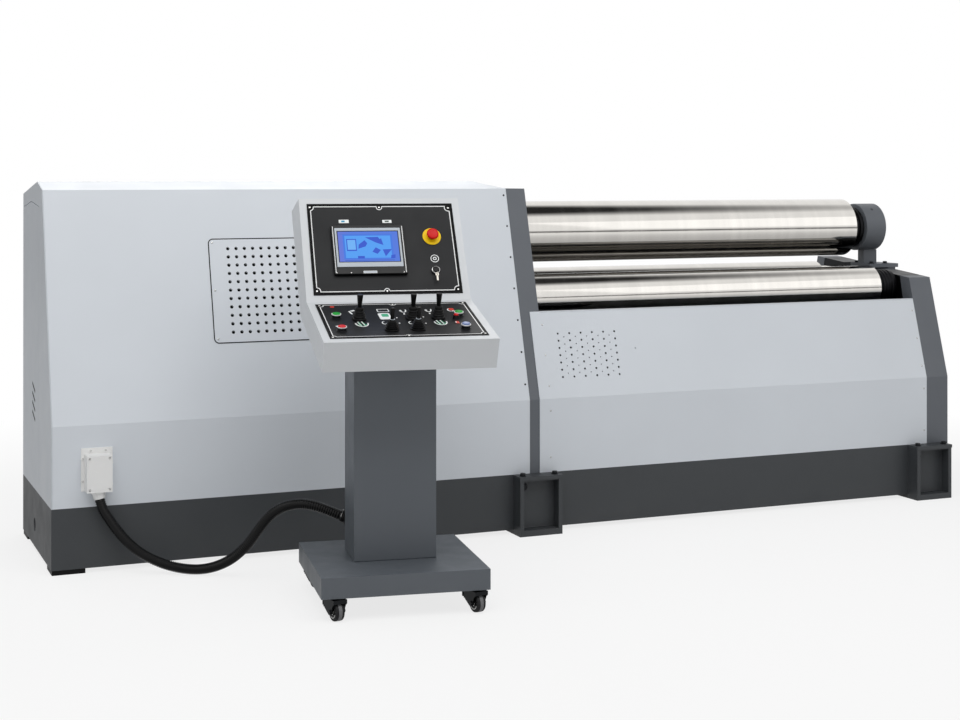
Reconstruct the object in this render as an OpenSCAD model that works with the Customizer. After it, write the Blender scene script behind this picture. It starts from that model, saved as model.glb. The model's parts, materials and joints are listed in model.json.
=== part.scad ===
// Four-roll plate bending machine with its operator console.
// X runs along the rolls, Y from the operator's side to the back, Z up from the floor.
// The origin is on the floor, under the inner face line of the drive frame.

/* [Rolls] */
// Length of the roll bodies
roll_len = 1591; // [1400:1:1600]
// Radius of the top roll
top_roll_r = 120; // [110:1:121]
// Radius of the bottom pinch roll
bottom_roll_r = 94.5; // [85:0.5:95]
// Radius of the two side rolls
side_roll_r = 88; // [80:1:89]
// Height of the top roll's axis above the floor
top_axis_z = 1083.6; // [1080:0.1:1090]
// Height of the bottom roll's axis, lowered
bottom_axis_z = 813.5; // [810:0.5:816]
// Height of the side rolls' axes, lowered
side_axis_z = 840; // [836:1:842]
// Distance of each side roll from the top roll's axis, measured level
side_offset = 199.5; // [198:0.5:202]
// Lean of the side rolls' slideways from upright
slide_lean = 12; // [10:1:13]

/* [Frames and base] */
// Depth of the frames and of the base under the rolls
frame_depth = 903; // [900:1:910]
// Thickness of the drive frame
drive_frame_t = 78; // [70:1:90]
// Distance between the origin and the drive frame's inner face
drive_inset = 38; // [30:1:40]
// Distance from the origin to the drop frame's inner face
drop_frame_x = 1732; // [1728:1:1740]
// Thickness of the drop frame
drop_frame_t = 104; // [90:1:110]
// Height of the base's underside above the floor
base_z = 16; // [10:1:20]
// Height of the base's top
base_top = 216; // [210:1:220]

/* [Cabinet] */
// Length of the drive cabinet
cabinet_len = 1710; // [1600:1:1800]
// Depth of the drive cabinet
cabinet_depth = 702; // [690:1:720]
// Height at which the front panel starts to lean back
crease_z = 484; // [480:1:490]
// Height of the front edge of the roof
hip_z = 1255; // [1245:1:1260]
// Distance that the front panel leans back over its height
front_lean = 221.6; // [215:0.1:225]
// Distance of the roof's ridge from the front
ridge_y = 338; // [330:1:345]
// Height of the roof's ridge
ridge_z = 1283; // [1275:1:1290]
// Height of the rear edge of the roof
rear_hip_z = 1238; // [1230:1:1250]
// Length over which the roof falls to the drive frame
roof_fall = 90; // [60:1:120]
// Height of the front cover's top edge
cover_top = 798; // [790:1:800]

/* [Console] */
// Place of the console's middle along the machine
console_x = -820; // [-900:1:-780]
// Place of the console's middle across the machine
console_y = -682; // [-800:1:-670]
// Turn of the console seen from above
console_turn = -8.9; // [-12:0.1:0]
// Width of the console's head
head_w = 519; // [500:1:540]
// Width of the console's base plate
plate_w = 508; // [500:1:520]
// Depth of the console's base plate
plate_d = 494; // [480:1:510]
// Height of the castors
castor_h = 69; // [68:1:72]

/* [Hose] */
// Outer diameter of the console's hose
hose_d = 34; // [28:1:34]

/* [Hidden] */
$fn = 64;

// Colours
light = "#d2d7df";
end_grey = "#a7abb0";
dark = "#404548";
frame_grey = "#5c6065";
pillar_grey = "#585d63";
black = "#1c1c1e";
steel = "#c9c7c4";

// Long positions
drive_x0 = drive_inset - drive_frame_t;
cabinet_x0 = drive_x0 - cabinet_len;
drop_x1 = drop_frame_x + drop_frame_t;
roll_x0 = drive_inset + 6;
roll_x1 = roll_x0 + roll_len;
gap = 5;
sheet = 3;
seam = 0.05;
strip_w = 19;
journal_x0 = drive_x0 + gap + 1;
stub_x1 = drop_frame_x - gap - 1;
stub_r = 68;

// Front plane: distance from the front at a height
lean = front_lean / (hip_z - crease_z);
function front_y(z) = max(0, (z - crease_z) * lean);

// Middle plane of the roll stack
mid_y = frame_depth / 2;
front_axis_y = mid_y - side_offset;
rear_axis_y = mid_y + side_offset;

// Top of the drop frame rises towards the back
drop_top_front = 883;
drop_top_rise = 0.0925;
function drop_top(y) = drop_top_front + (y - front_y(drop_top_front)) * drop_top_rise;

// Slideways and bearing blocks
side_block_w = 160;
side_block_down = 95;
side_block_up = 75;
side_travel = 120;
bottom_block_w = 104;
bottom_block_down = 70;
bottom_block_up = 42;
bottom_travel = 49.5;
side_journal_r = 50;
bottom_journal_r = 32;
top_journal_r = 65;
running = 0.05;
sill_z = 720;
window_half = side_block_w / 2 + gap;
window_reach = side_travel + side_block_up + 2 * gap;
window_top = slide_point(window_half, window_reach);
window_inner = slide_point(-window_half, window_reach);
bottom_half = bottom_block_w / 2 + gap;
bottom_window_top = bottom_axis_z + bottom_block_up + bottom_travel + gap;
// outer end of the joint between column and head
head_run = (outer_d(window_top[1], sheet) - window_top[0]) / (cos(slide_lean) + sin(slide_lean) * lean);
head_corner = window_top + head_run * [cos(slide_lean), sin(slide_lean)];

// Swing arm that carries the top roll's free end
arm_t = 36;
arm_w = 100;
arm_x0 = drop_x1 + 6;
pivot_x = arm_x0 + arm_t / 2;
pivot_z = 320;
pivot_r = 14;
seat_z = 904;
foot_z = 910.5;
foot_t = 16;
collar_x0 = 1697;
collar_x1 = 1795;
collar_r = 100;
nose_x0 = 1690;
nose_x1 = 1752;
nose_r0 = 76;
nose_r1 = 57;
post_x0 = 1735;
post_x1 = 1801;
post_w = 42;

// Hole field in the front cover, measured up the slope
field_x0 = 104;
field_z0 = 559;
field_cols = 6;
field_rows = 7;
field_pitch_x = 47.2;
field_pitch_y = 27.2;

// Brackets under the frames
bracket_w = 168;
bracket_d = 62;
bracket_wall = 15;
bracket_top = 13;

// Edge of the door in the cabinet's end, as [Y, Z]
door_edge = [[293, 250], [293, 1198], [483, 1213], [672, 1192]];

// Junction box on the cabinet's front
box_x = -1604;
box_w = 82;
box_z0 = 272;
box_z1 = 391;
box_depth = 62;
lid_t = 18;
gland_y = -32;
gland_lean = 12;
elbow = [-98, 30, 218];
elbow_turn = [0, -70, -12];

// Perforated vent panel
vent_x0 = -1191;
vent_w = 456;
vent_z0 = 731;
vent_z1 = 1080;
vent_cols = 12;
vent_rows = 11;
vent_pitch = 29.6;
vent_hole_d = 9;

// Console
plate_t = 62;
plate_top = castor_h + plate_t;
pillar_w = 255;
pillar_d = 176;
pillar_y = 22;
desk_front = [-335, 826];
desk_rear = [27, 914];
head_top = [214, 1230];
head_profile = [[-296, 736], desk_front, desk_rear, head_top, [386, 1186], [167, 861]];
pillar_h = head_profile[0][1] - plate_top + 40;
desk_tilt = atan2(desk_rear[1] - desk_front[1], desk_rear[0] - desk_front[0]);
display_tilt = atan2(head_top[1] - desk_rear[1], head_top[0] - desk_rear[0]);
panel_t = 2;
castor_inset = 42;
castor_trail = 22;
castor_angle = 287;
wheel_r = 28.5;
wheel_t = 28;
cheek_y = wheel_t / 2 + 5;
cheek_t = 3;
lever_pin_z = 7.5;
cap_r = 12;
small_cap_r = 7;
lever_spots = [[-126, 193, true], [36, 190, true], [115, 193, true], [-45, 94, false], [34, 95, false]];
start_spot = [-192, 214];
stop_spot = [-193, 97];
pump_start_spot = [183, 212];
pump_stop_spot = [169, 186];
reset_spot = [179, 95];
estop_spot = [157, 225];
key_spot = [156, 102];
// Touch screen's case and the glass sunk in it, as [left, bottom, width, height] on the display face
screen_case = [-167, 88, 232, 173];
screen_glass = [-151, 128, 197.5, 112.5];
screen_case_t = 14;
glass_depth = 3;
wheel_profile = [[0, cheek_y - 0.05], [4, cheek_y - 0.05], [4, wheel_t / 2 + 2], [9, wheel_t / 2 + 2],
    [10, wheel_t / 2 - 2], [18, wheel_t / 2 - 2], [20, wheel_t / 2], [wheel_r - 4, wheel_t / 2],
    [wheel_r, wheel_t / 2 - 6]];
castor_spots = [for (v = [-1, 1]) for (u = [-1, 1])
    [u * (plate_w / 2 - castor_inset), v * (plate_d / 2 - castor_inset)]];

// Hose route, from the junction box's gland to the elbow on the back of the pillar
hose_route = [[-1599.8, -32, 248.2], [-1597.8, -32, 238.7], [-1592.5, -32.5, 221], [-1583.5, -34.5, 201],
    [-1568, -38.5, 175.5], [-1547, -46.5, 144], [-1523, -57, 113.5], [-1496, -70, 86], [-1466, -83, 63],
    [-1433, -98, 45], [-1399, -114, 31], [-1363, -131, 21.5], [-1328, -151, 17.7], [-1294, -172, 19.5],
    [-1261, -195, 28.5], [-1232, -219, 44], [-1208, -243, 64], [-1188, -268, 89], [-1171, -292, 116],
    [-1157, -315, 146], [-1144, -338, 176], [-1130, -362, 205], [-1112, -387, 231], [-1089, -412, 250],
    [-1061, -437, 261.5], [-1031, -460, 264.5], [-999, -481, 258.5], [-966, -498.5, 246.5],
    [-940.1, -511.4, 235.5], [-929.7, -515.4, 231.5]];

module along_x(x) translate([x, 0, 0]) rotate([90, 0, 90]) children();
module roll_revolve(y, z) translate([0, y, z]) rotate([0, 90, 0]) rotate([0, 0, 90])
    rotate_extrude($fn = 96) children();
module on_console() translate([console_x, console_y, 0]) rotate([0, 0, console_turn]) children();
module on_desk(spot) on_console() translate([0, desk_front[0], desk_front[1]])
    rotate([desk_tilt, 0, 0]) translate([spot[0], spot[1], 0]) children();
module on_display(spot) on_console() translate([0, desk_rear[0], desk_rear[1]])
    rotate([display_tilt, 0, 0]) translate([spot[0], spot[1], 0]) children();
module rounded(w, d, r) hull()
    for (x = [r, w - r]) for (y = [r, d - r]) translate([x, y]) circle(r, $fn = 24);

// ---- base and cabinet ----
module base_plinth() color(dark) difference() {
    union() {
        translate([cabinet_x0, 0, base_z]) cube([cabinet_len, cabinet_depth, base_top - base_z]);
        translate([drive_x0, 0, base_z]) cube([drop_x1 - drive_x0, frame_depth, base_top - base_z]);
    }
    translate([cabinet_x0 - 1, 394, 92]) rotate([0, 90, 0]) cylinder(h = 40, r = 24);
}

module levelling_pads() color(black)
    for (y = [0, cabinet_depth - 110]) translate([cabinet_x0 + 2, y + 2, 0]) cube([108, 106, base_z]);

module cabinet_outline() polygon([[0, base_top], [0, crease_z], [front_lean, hip_z], [ridge_y, ridge_z],
    [cabinet_depth, rear_hip_z], [cabinet_depth, base_top]]);

module cabinet_housing() color(light) difference() {
    along_x(cabinet_x0 + sheet) linear_extrude(cabinet_len - sheet) cabinet_outline();
    // the roof slopes down to the top of the drive frame
    translate([0, cabinet_depth + 1, 0]) rotate([90, 0, 0]) linear_extrude(cabinet_depth + 2)
        polygon([[drive_x0 - roof_fall, ridge_z], [drive_x0 + 1, hip_z],
            [drive_x0 + 1, ridge_z + 10], [drive_x0 - roof_fall, ridge_z + 10]]);
    // shallow well behind the vent panel
    vent_frame() translate([30, 20, -14]) cube([vent_w - 60, vent_height() - 40, 16]);
}

function vent_height() = (vent_z1 - vent_z0) / cos(atan(lean));
module vent_frame() translate([vent_x0, front_y(vent_z0), vent_z0])
    rotate([90 - atan(lean), 0, 0]) children();

// The end's outer sheet: a gap runs round the lift-off door, and four slanted slots let air in.
module door_gap(a, b) translate(a) rotate(atan2(b[1] - a[1], b[0] - a[0])) translate([0, -1.5])
    square([norm(b - a), 3]);
module cabinet_end_panel() color(end_grey) along_x(cabinet_x0) linear_extrude(sheet) difference() {
    cabinet_outline();
    for (i = [0 : len(door_edge) - 2]) door_gap(door_edge[i], door_edge[i + 1]);
    for (z = [448, 481, 514, 547]) translate([388, z]) rotate(20) square([76, 12]);
}

module vent_panel() color(light) vent_frame() difference() {
    linear_extrude(sheet) rounded(vent_w, vent_height(), 14);
    for (i = [0 : vent_cols - 1]) for (j = [0 : vent_rows - 1])
        translate([vent_w / 2 + (i - (vent_cols - 1) / 2) * vent_pitch,
            vent_height() / 2 + (j - (vent_rows - 1) / 2) * vent_pitch, -1])
            cylinder(h = sheet + 2, d = vent_hole_d, $fn = 24);
}

// ---- frames ----
// Each frame is welded from flat bars: a sill, two columns, the webs between the slideways and a head.
// Points are [distance from the middle plane, height].
function outer_d(z, inset) = mid_y - inset - front_y(z);
function guide_d(off, z) = side_offset + off / cos(slide_lean) - (z - side_axis_z) * tan(slide_lean);
function slide_point(off, s) = [side_offset + off * cos(slide_lean) - s * sin(slide_lean),
    side_axis_z + off * sin(slide_lean) + s * cos(slide_lean)];
module both_sides() for (m = [0, 1]) translate([mid_y, 0]) mirror([m, 0]) children();
module symmetric(half) translate([mid_y, 0]) polygon(concat(half,
    [for (i = [len(half) - 1 : -1 : 0]) [-half[i][0], half[i][1]]]));

function edge_point(z, inset) = [outer_d(z, inset), z];
module sill_outline(inset)
    symmetric([edge_point(base_top, inset), edge_point(crease_z, inset), edge_point(sill_z, inset)]);
module journal_hole() translate([mid_y, top_axis_z]) circle(top_journal_r + running, $fn = 96);

module drive_sill() color(frame_grey) along_x(drive_x0) linear_extrude(drive_frame_t) sill_outline(sheet);
module drive_columns() color(frame_grey) along_x(drive_x0) linear_extrude(drive_frame_t) both_sides()
    polygon([edge_point(sill_z, sheet), head_corner, window_top, [guide_d(window_half, sill_z), sill_z]]);
module drive_webs() color(frame_grey) along_x(drive_x0) linear_extrude(drive_frame_t) difference() {
    symmetric([[guide_d(-window_half, sill_z), sill_z], window_inner]);
    translate([mid_y - bottom_half, sill_z - 1]) square([2 * bottom_half, bottom_window_top - sill_z + 1]);
    journal_hole();
}
module drive_head() color(frame_grey) along_x(drive_x0) linear_extrude(drive_frame_t) difference() {
    symmetric([window_inner, head_corner, edge_point(hip_z, sheet)]);
    journal_hole();
}

module under_drop_top() polygon([[0, base_top], [0, drop_top(0)], [frame_depth, drop_top(frame_depth)],
    [frame_depth, base_top]]);
module drop_sill() color(frame_grey) along_x(drop_frame_x) linear_extrude(drop_frame_t) sill_outline(0);
module drop_columns() color(frame_grey) along_x(drop_frame_x) linear_extrude(drop_frame_t) intersection() {
    both_sides() polygon([edge_point(sill_z, 0), edge_point(hip_z, 0),
        [guide_d(window_half, hip_z), hip_z], [guide_d(window_half, sill_z), sill_z]]);
    under_drop_top();
}
module drop_webs() color(frame_grey) along_x(drop_frame_x) linear_extrude(drop_frame_t) both_sides()
    polygon([[guide_d(-window_half, sill_z), sill_z], [guide_d(-window_half, seat_z), seat_z],
        [bottom_half, seat_z], [bottom_half, sill_z]]);

// ---- covers ----
// A lower sheet and a leaning upper sheet meet at the crease, with a strip along the top edge.
module cover_sheets() {
    translate([0, base_top]) square([sheet, crease_z - base_top - seam]);
    polygon([[0, crease_z], [front_y(cover_top), cover_top], [front_y(cover_top) + sheet, cover_top],
        [sheet, crease_z]]);
}
module cover() {
    along_x(0) linear_extrude(drop_frame_x) cover_sheets();
    translate([drive_inset + seam, front_y(cover_top) + sheet + seam, cover_top - sheet])
        cube([drop_frame_x - drive_inset - seam, strip_w, sheet]);
}

// Large holes in columns and rows, with small ones staggered between them
module cover_hole(x, y, d) translate([x, y, -sheet - 2]) cylinder(h = 2 * sheet + 4, d = d, $fn = 24);
module cover_holes() translate([field_x0, front_y(field_z0), field_z0]) rotate([90 - atan(lean), 0, 0]) {
    for (i = [0 : field_cols - 1]) for (j = [0 : field_rows - 1])
        cover_hole(i * field_pitch_x, j * field_pitch_y, 8);
    for (i = [0 : field_cols - 2]) for (j = [0 : field_rows - 2])
        cover_hole((i + 0.5) * field_pitch_x, (j + 0.5) * field_pitch_y, 4.5);
    cover_hole(316, 96, 5);
}
module front_cover() color(light) difference() {
    cover();
    cover_holes();
}
module rear_cover() color(light) translate([0, frame_depth, 0]) mirror([0, 1, 0]) cover();

// An open-fronted bracket under a frame: walls round a recess, a top plate with two holes and a foot plate
module floor_bracket(x) translate([x - bracket_w / 2, -bracket_d, 0]) difference() {
    union() {
        cube([bracket_w, bracket_d, base_top - bracket_top]);
        translate([-2, -2, base_top - bracket_top]) cube([bracket_w + 4, bracket_d + 2, bracket_top]);
        cube([bracket_w, bracket_d + 80, base_z]);
    }
    translate([bracket_wall, -3, 22]) cube([bracket_w - 2 * bracket_wall, 49, base_top - 22 - 17]);
    for (u = [20, bracket_w - 20]) translate([u, 24, base_top - 17]) cylinder(h = 30, d = 13, $fn = 32);
}
module floor_brackets() color(dark) for (x = [-22, 1722]) {
    floor_bracket(x);
    translate([0, frame_depth, 0]) mirror([0, 1, 0]) floor_bracket(x);
}

// ---- rolls ----
// Outlines turned round a roll's axis, as [radius, X]
function body_profile(r, edge) = [[r - edge, roll_x0], [r, roll_x0 + edge], [r, roll_x1 - edge],
    [r - edge, roll_x1]];
function rib_profile(x) = [[stub_r, x + 4], [stub_r + 4, x + 7], [stub_r + 4, x + 13], [stub_r, x + 16]];
function stub_profile(jr, x_out, ribs) = concat([[stub_r, roll_x1]],
    [for (i = [0 : 1 : ribs - 1]) each rib_profile(roll_x1 + 16 * i)],
    [[stub_r, stub_x1], [jr, stub_x1], [jr, x_out], [0, x_out]]);
module drive_journal(r) translate([0, journal_x0]) square([r, roll_x0 - journal_x0]);

module top_roll() color(steel) roll_revolve(mid_y, top_axis_z)
    polygon(concat([[0, roll_x0]], body_profile(top_roll_r, 4), [[0, roll_x1]]));
// The free end steps down and ends in a cone that the drop end holds.
module top_roll_journals() color(steel) roll_revolve(mid_y, top_axis_z) {
    drive_journal(top_journal_r);
    polygon([[0, roll_x1], [96, roll_x1], [96, roll_x1 + 14], [86, roll_x1 + 14], [86, roll_x1 + 26],
        [80, roll_x1 + 30], [80, roll_x1 + 36], [86, roll_x1 + 40], [86, nose_x0 - 2], [nose_r0, nose_x0 - 2],
        [nose_r0, nose_x0], [nose_r1, nose_x1], [0, nose_x1]]);
}

module bottom_roll() color(steel) roll_revolve(mid_y, bottom_axis_z)
    polygon(concat([[0, roll_x0]], body_profile(bottom_roll_r, 3), [[0, roll_x1]]));
module bottom_roll_journals() color(steel) roll_revolve(mid_y, bottom_axis_z) {
    drive_journal(bottom_journal_r);
    polygon(concat([[0, roll_x1]], stub_profile(bottom_journal_r, drop_x1 - 12, 0)));
}

module side_roll(y, ribs) color(steel) roll_revolve(y, side_axis_z)
    polygon(concat([[0, journal_x0], [side_journal_r, journal_x0], [side_journal_r, roll_x0]],
        body_profile(side_roll_r, 3), stub_profile(side_journal_r, drop_x1 - 6, ribs)));
module front_side_roll() side_roll(front_axis_y, 5);
module rear_side_roll() side_roll(rear_axis_y, 0);

// ---- bearing blocks ----
module side_block(y, side, up) difference() {
    translate([y, side_axis_z]) rotate(-side * slide_lean)
        translate([-side_block_w / 2, -side_block_down]) square([side_block_w, side_block_down + up]);
    translate([y, side_axis_z]) circle(side_journal_r + running, $fn = 96);
}
module side_blocks(y, side) {
    along_x(drive_x0 + gap) linear_extrude(drive_frame_t - gap) side_block(y, side, side_block_up);
    along_x(drop_frame_x) linear_extrude(drop_frame_t) difference() {
        intersection() {
            side_block(y, side, 200);
            under_drop_top();
        }
        // inner top corner stays clear of the collar at full lift
        translate([mid_y - side * side_travel * sin(slide_lean), top_axis_z - side_travel * cos(slide_lean)])
            circle(collar_r + gap + 1, $fn = 96);
    }
}
module bottom_block() difference() {
    translate([mid_y - bottom_block_w / 2, bottom_axis_z - bottom_block_down])
        square([bottom_block_w, bottom_block_down + bottom_block_up]);
    translate([mid_y, bottom_axis_z]) circle(bottom_journal_r + running, $fn = 96);
}
module front_bearing_blocks() color(black) side_blocks(front_axis_y, 1);
module rear_bearing_blocks() color(black) side_blocks(rear_axis_y, -1);
module bottom_bearing_blocks() color(black) {
    along_x(drive_x0 + gap) linear_extrude(drive_frame_t - gap) bottom_block();
    along_x(drop_frame_x) linear_extrude(drop_frame_t - gap) bottom_block();
}

// ---- swing arm at the drop end ----
module swing_arm() color(frame_grey) difference() {
    union() {
        translate([arm_x0, mid_y - arm_w / 2, pivot_z]) cube([arm_t, arm_w, foot_z + foot_t - pivot_z]);
        translate([pivot_x, mid_y - arm_w / 2, pivot_z]) rotate([-90, 0, 0]) cylinder(h = arm_w, d = arm_t);
        translate([drop_frame_x, mid_y - 70, foot_z]) cube([arm_x0 + arm_t - drop_frame_x, 140, foot_t]);
        translate([post_x0, mid_y - post_w / 2, foot_z])
            cube([post_x1 - post_x0, post_w, top_axis_z - foot_z - collar_r + 8]);
    }
    translate([pivot_x, mid_y - arm_w, pivot_z]) rotate([-90, 0, 0])
        cylinder(h = 2 * arm_w, r = pivot_r + 0.1);
    translate([0, mid_y, top_axis_z]) rotate([0, 90, 0]) cylinder(h = 3000, r = collar_r, $fn = 96);
}

module drop_end_collar() color(dark) roll_revolve(mid_y, top_axis_z) polygon([
    [nose_r0 + 1.5, collar_x0], [collar_r - 2, collar_x0], [collar_r, collar_x0 + 2],
    [collar_r, collar_x1 - 2], [collar_r - 2, collar_x1], [0, collar_x1],
    [0, nose_x1 + 8], [nose_r1 + 0.5, nose_x1 + 8]]);

module arm_pivot_lugs() color(frame_grey) {
    for (y = [mid_y - arm_w / 2 - 22, mid_y + arm_w / 2 + 6]) translate([0, y, 0]) hull() {
        translate([pivot_x, 0, pivot_z]) rotate([-90, 0, 0]) cylinder(h = 16, r = 22, $fn = 32);
        translate([drop_x1, 0, pivot_z - 40]) cube([1, 16, 80]);
    }
    translate([pivot_x, mid_y - arm_w / 2 - 26, pivot_z]) rotate([-90, 0, 0])
        cylinder(h = arm_w + 52, r = pivot_r);
}

// ---- junction box and hose ----
// Box on a back plate, with a groove where its lid meets it and screw wells at the lid's corners
module box_block(inset, y0, d) translate([box_x - box_w / 2 + inset, y0, box_z0 + inset])
    cube([box_w - 2 * inset, d, box_z1 - box_z0 - 2 * inset]);
module junction_box() color("#e4e4e2") difference() {
    union() {
        translate([box_x - 51, -4, box_z0 - 3]) cube([102, 4, 141]);
        box_block(0, -box_depth, box_depth - 4);
    }
    difference() {
        box_block(-1, lid_t - box_depth, 2);
        box_block(1.5, lid_t - 1 - box_depth, 4);
    }
    for (u = [-1, 1]) for (z = [box_z0 + 9, box_z1 - 9])
        translate([box_x + u * (box_w / 2 - 9), 4 - box_depth, z]) rotate([90, 0, 0])
            cylinder(h = 6, d = 9, $fn = 24);
}

// Hexagonal nut with a round mouthpiece that may lean over
module gland(lean = 0) {
    cylinder(h = 9, r = 24, $fn = 6);
    translate([0, 0, 4.5]) rotate([0, lean, 0]) cylinder(h = 19.5, r = 20);
}
module hose_glands() color("#e4e4e2") {
    translate([box_x, gland_y, box_z0]) mirror([0, 0, 1]) gland(gland_lean);
    on_console() translate([elbow[0], pillar_y + pillar_d / 2, elbow[2]]) {
        rotate([-90, 0, 0]) cylinder(h = elbow[1] + 20, r = 20);
        translate([0, elbow[1], 0]) rotate(elbow_turn) translate([0, 0, 15]) gland();
    }
}

function unit(v) = v / norm(v);
function ring_points(p, t, r, n) = let (a = unit(cross(t, [1, 1, 0])), b = cross(t, a))
    [for (i = [0 : n - 1]) p + r * (cos(360 * i / n) * a + sin(360 * i / n) * b)];
function tangent(path, i) = unit(path[min(i + 1, len(path) - 1)] - path[max(i - 1, 0)]);
module tube(path, r, n = 10) polyhedron(
    points = [for (i = [0 : len(path) - 1]) for (q = ring_points(path[i], tangent(path, i), r, n)) q],
    faces = concat([[for (i = [0 : n - 1]) i]], [[for (i = [n - 1 : -1 : 0]) (len(path) - 1) * n + i]],
        [for (k = [0 : len(path) - 2]) for (i = [0 : n - 1])
            [k * n + i, (k + 1) * n + i, (k + 1) * n + (i + 1) % n, k * n + (i + 1) % n]]));
module console_hose() color(black) tube(hose_route, hose_d / 2);

// ---- console ----
module console_base() color(pillar_grey) on_console()
    translate([-plate_w / 2, -plate_d / 2, castor_h]) cube([plate_w, plate_d, plate_t]);

module pillar_block() translate([-pillar_w / 2, pillar_y - pillar_d / 2, plate_top])
    cube([pillar_w, pillar_d, pillar_h]);
module console_pillar() color(pillar_grey) on_console() pillar_block();

module console_head() color("#e3e6ea") on_console() difference() {
    translate([-head_w / 2, 0, 0]) along_x(0) linear_extrude(head_w) polygon(head_profile);
    pillar_block();
}

module display_plate() color(black) on_display([0, 0]) translate([-236, 23, 0]) cube([472, 324, panel_t]);
module button_plate() color(black) on_desk([0, 0]) translate([-237, 30, 0]) cube([472, 316, panel_t]);

module on_screen(area, z, t) translate([area[0], area[1], panel_t + z]) cube([area[2], area[3], t]);
module touch_screen() color("#2f62c9") on_display([0, 0]) difference() {
    on_screen(screen_case, 0, screen_case_t);
    on_screen(screen_glass, screen_case_t - glass_depth, 2 * glass_depth);
}

module estop_ring() color("#f2c811") on_display(estop_spot) translate([0, 0, panel_t]) difference() {
    cylinder(h = 3, r = 30);
    translate([0, 0, -1]) cylinder(h = 5, r = 12);
}
module estop_knob() color("#d8241c") on_display(estop_spot) translate([0, 0, panel_t]) {
    translate([0, 0, 6]) cylinder(h = 9, r = 10);
    translate([0, 0, 11]) cylinder(h = 9, r1 = 15, r2 = 19.5);
    translate([0, 0, 20]) cylinder(h = 5, r1 = 19.5, r2 = 15);
}

module key_switch() color("#8a8c8e") on_display(key_spot) translate([0, 0, panel_t]) difference() {
    cylinder(h = 11, r = 14);
    translate([0, 0, 3]) cylinder(h = 20, r = 8.05);
}
// Barrel, blade and bow of the key, with its spare hanging below
module key() color(steel) on_display(key_spot) translate([0, 0, panel_t]) {
    translate([0, 0, 3.5]) cylinder(h = 7, r = 8);
    translate([-1.2, -4, 10]) cube([2.4, 8, 8]);
    translate([-1.2, -20, 16]) cube([2.4, 26, 12]);
    translate([-1, -42, 14]) cube([2, 25, 7]);
}

module bezel(r) translate([0, 0, panel_t]) difference() {
    cylinder(h = 10, r = r + 4);
    translate([0, 0, -1]) cylinder(h = 12, r = r + 0.5);
}
module button_bezels() color(steel) {
    for (s = [start_spot, stop_spot, pump_start_spot, reset_spot]) on_desk(s) bezel(cap_r);
    on_desk(pump_stop_spot) bezel(small_cap_r);
}
module push_button(s, r = cap_r, h = 11) on_desk(s) translate([0, 0, panel_t + 4]) cylinder(h = h, r = r);
module start_button() color("#2aa84a") push_button(start_spot);
module stop_button() color("#d8241c") push_button(stop_spot);
module pump_start_button() color("#2aa84a") push_button(pump_start_spot);
module pump_stop_button() color("#d8241c") push_button(pump_stop_spot, small_cap_r);
module reset_button() color("#8fa3d8") push_button(reset_spot, cap_r, 13);

module lever_boots() color(black) for (s = lever_spots) on_desk(s) translate([0, 0, panel_t]) difference() {
    cylinder(h = 14, r1 = 22, r2 = 17);
    translate([0, 0, 3]) cylinder(h = 12, r1 = 8, r2 = 12);
}
module lever(s) color(black) on_desk(s) translate([0, 0, panel_t]) {
    translate([0, 0, 4]) cylinder(h = 50, r = s[2] ? 4 : 3);
    translate([-6, 0, lever_pin_z]) rotate([0, 90, 0]) cylinder(h = 12, r = 3.2);
    if (s[2]) translate([0, 0, 38]) cylinder(h = 40, r1 = 6, r2 = 9.5);
    else translate([0, 0, 32]) cylinder(h = 36, r = 5.5);
}
module lever_1() lever(lever_spots[0]);
module lever_2() lever(lever_spots[1]);
module lever_3() lever(lever_spots[2]);
module lever_4() lever(lever_spots[3]);
module lever_5() lever(lever_spots[4]);

// ---- castors ----
module at_castor(i) on_console() translate([castor_spots[i][0], castor_spots[i][1], 0])
    rotate([0, 0, castor_angle]) children();
module castor_bar(x, z, size) translate([x, -size[1] / 2, z]) cube(size);
module castor_fork(i) color(black) at_castor(i) {
    fork_w = 2 * (cheek_y + cheek_t);
    crown = castor_h - 4;
    // swivel race, and a cap over the wheel with a short lip before it and a wall behind
    translate([0, 0, crown]) cylinder(h = 3.6, r = 20);
    castor_bar(-22, crown - 3, [69, fork_w, 3.5]);
    castor_bar(44, 54, [3, fork_w, crown - 54]);
    castor_bar(-22, 36, [3, fork_w, crown - 36]);
    for (m = [0, 1]) mirror([0, m, 0]) {
        // cheek beside the wheel, with the head of the axle bolt
        translate([0, cheek_y + cheek_t, 0]) rotate([90, 0, 0]) linear_extrude(cheek_t)
            polygon([[-22, crown], [-22, 44], [-14, 34], [12, 19], [29, 19], [32, 34], [38, 47], [47, 54],
                [47, crown]]);
        translate([castor_trail, cheek_y + cheek_t + 3.5, wheel_r]) rotate([90, 0, 0])
            cylinder(h = 4, r = 7, $fn = 6);
    }
    // brake pedal
    castor_bar(-44, 36, [25, 30, 4]);
    castor_bar(-44, 36, [4, 30, 13]);
}
// Wheel with its axle, which runs from cheek to cheek
module castor_wheel(i) color("#2a2a2c") at_castor(i) translate([castor_trail, 0, wheel_r]) rotate([90, 0, 0])
    rotate_extrude() polygon(concat([for (p = wheel_profile) [p[0], -p[1]]],
        [for (k = [len(wheel_profile) - 1 : -1 : 0]) wheel_profile[k]]));
module castor_fork_fl() castor_fork(0);
module castor_fork_fr() castor_fork(1);
module castor_fork_rl() castor_fork(2);
module castor_fork_rr() castor_fork(3);
module castor_wheel_fl() castor_wheel(0);
module castor_wheel_fr() castor_wheel(1);
module castor_wheel_rl() castor_wheel(2);
module castor_wheel_rr() castor_wheel(3);

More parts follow.
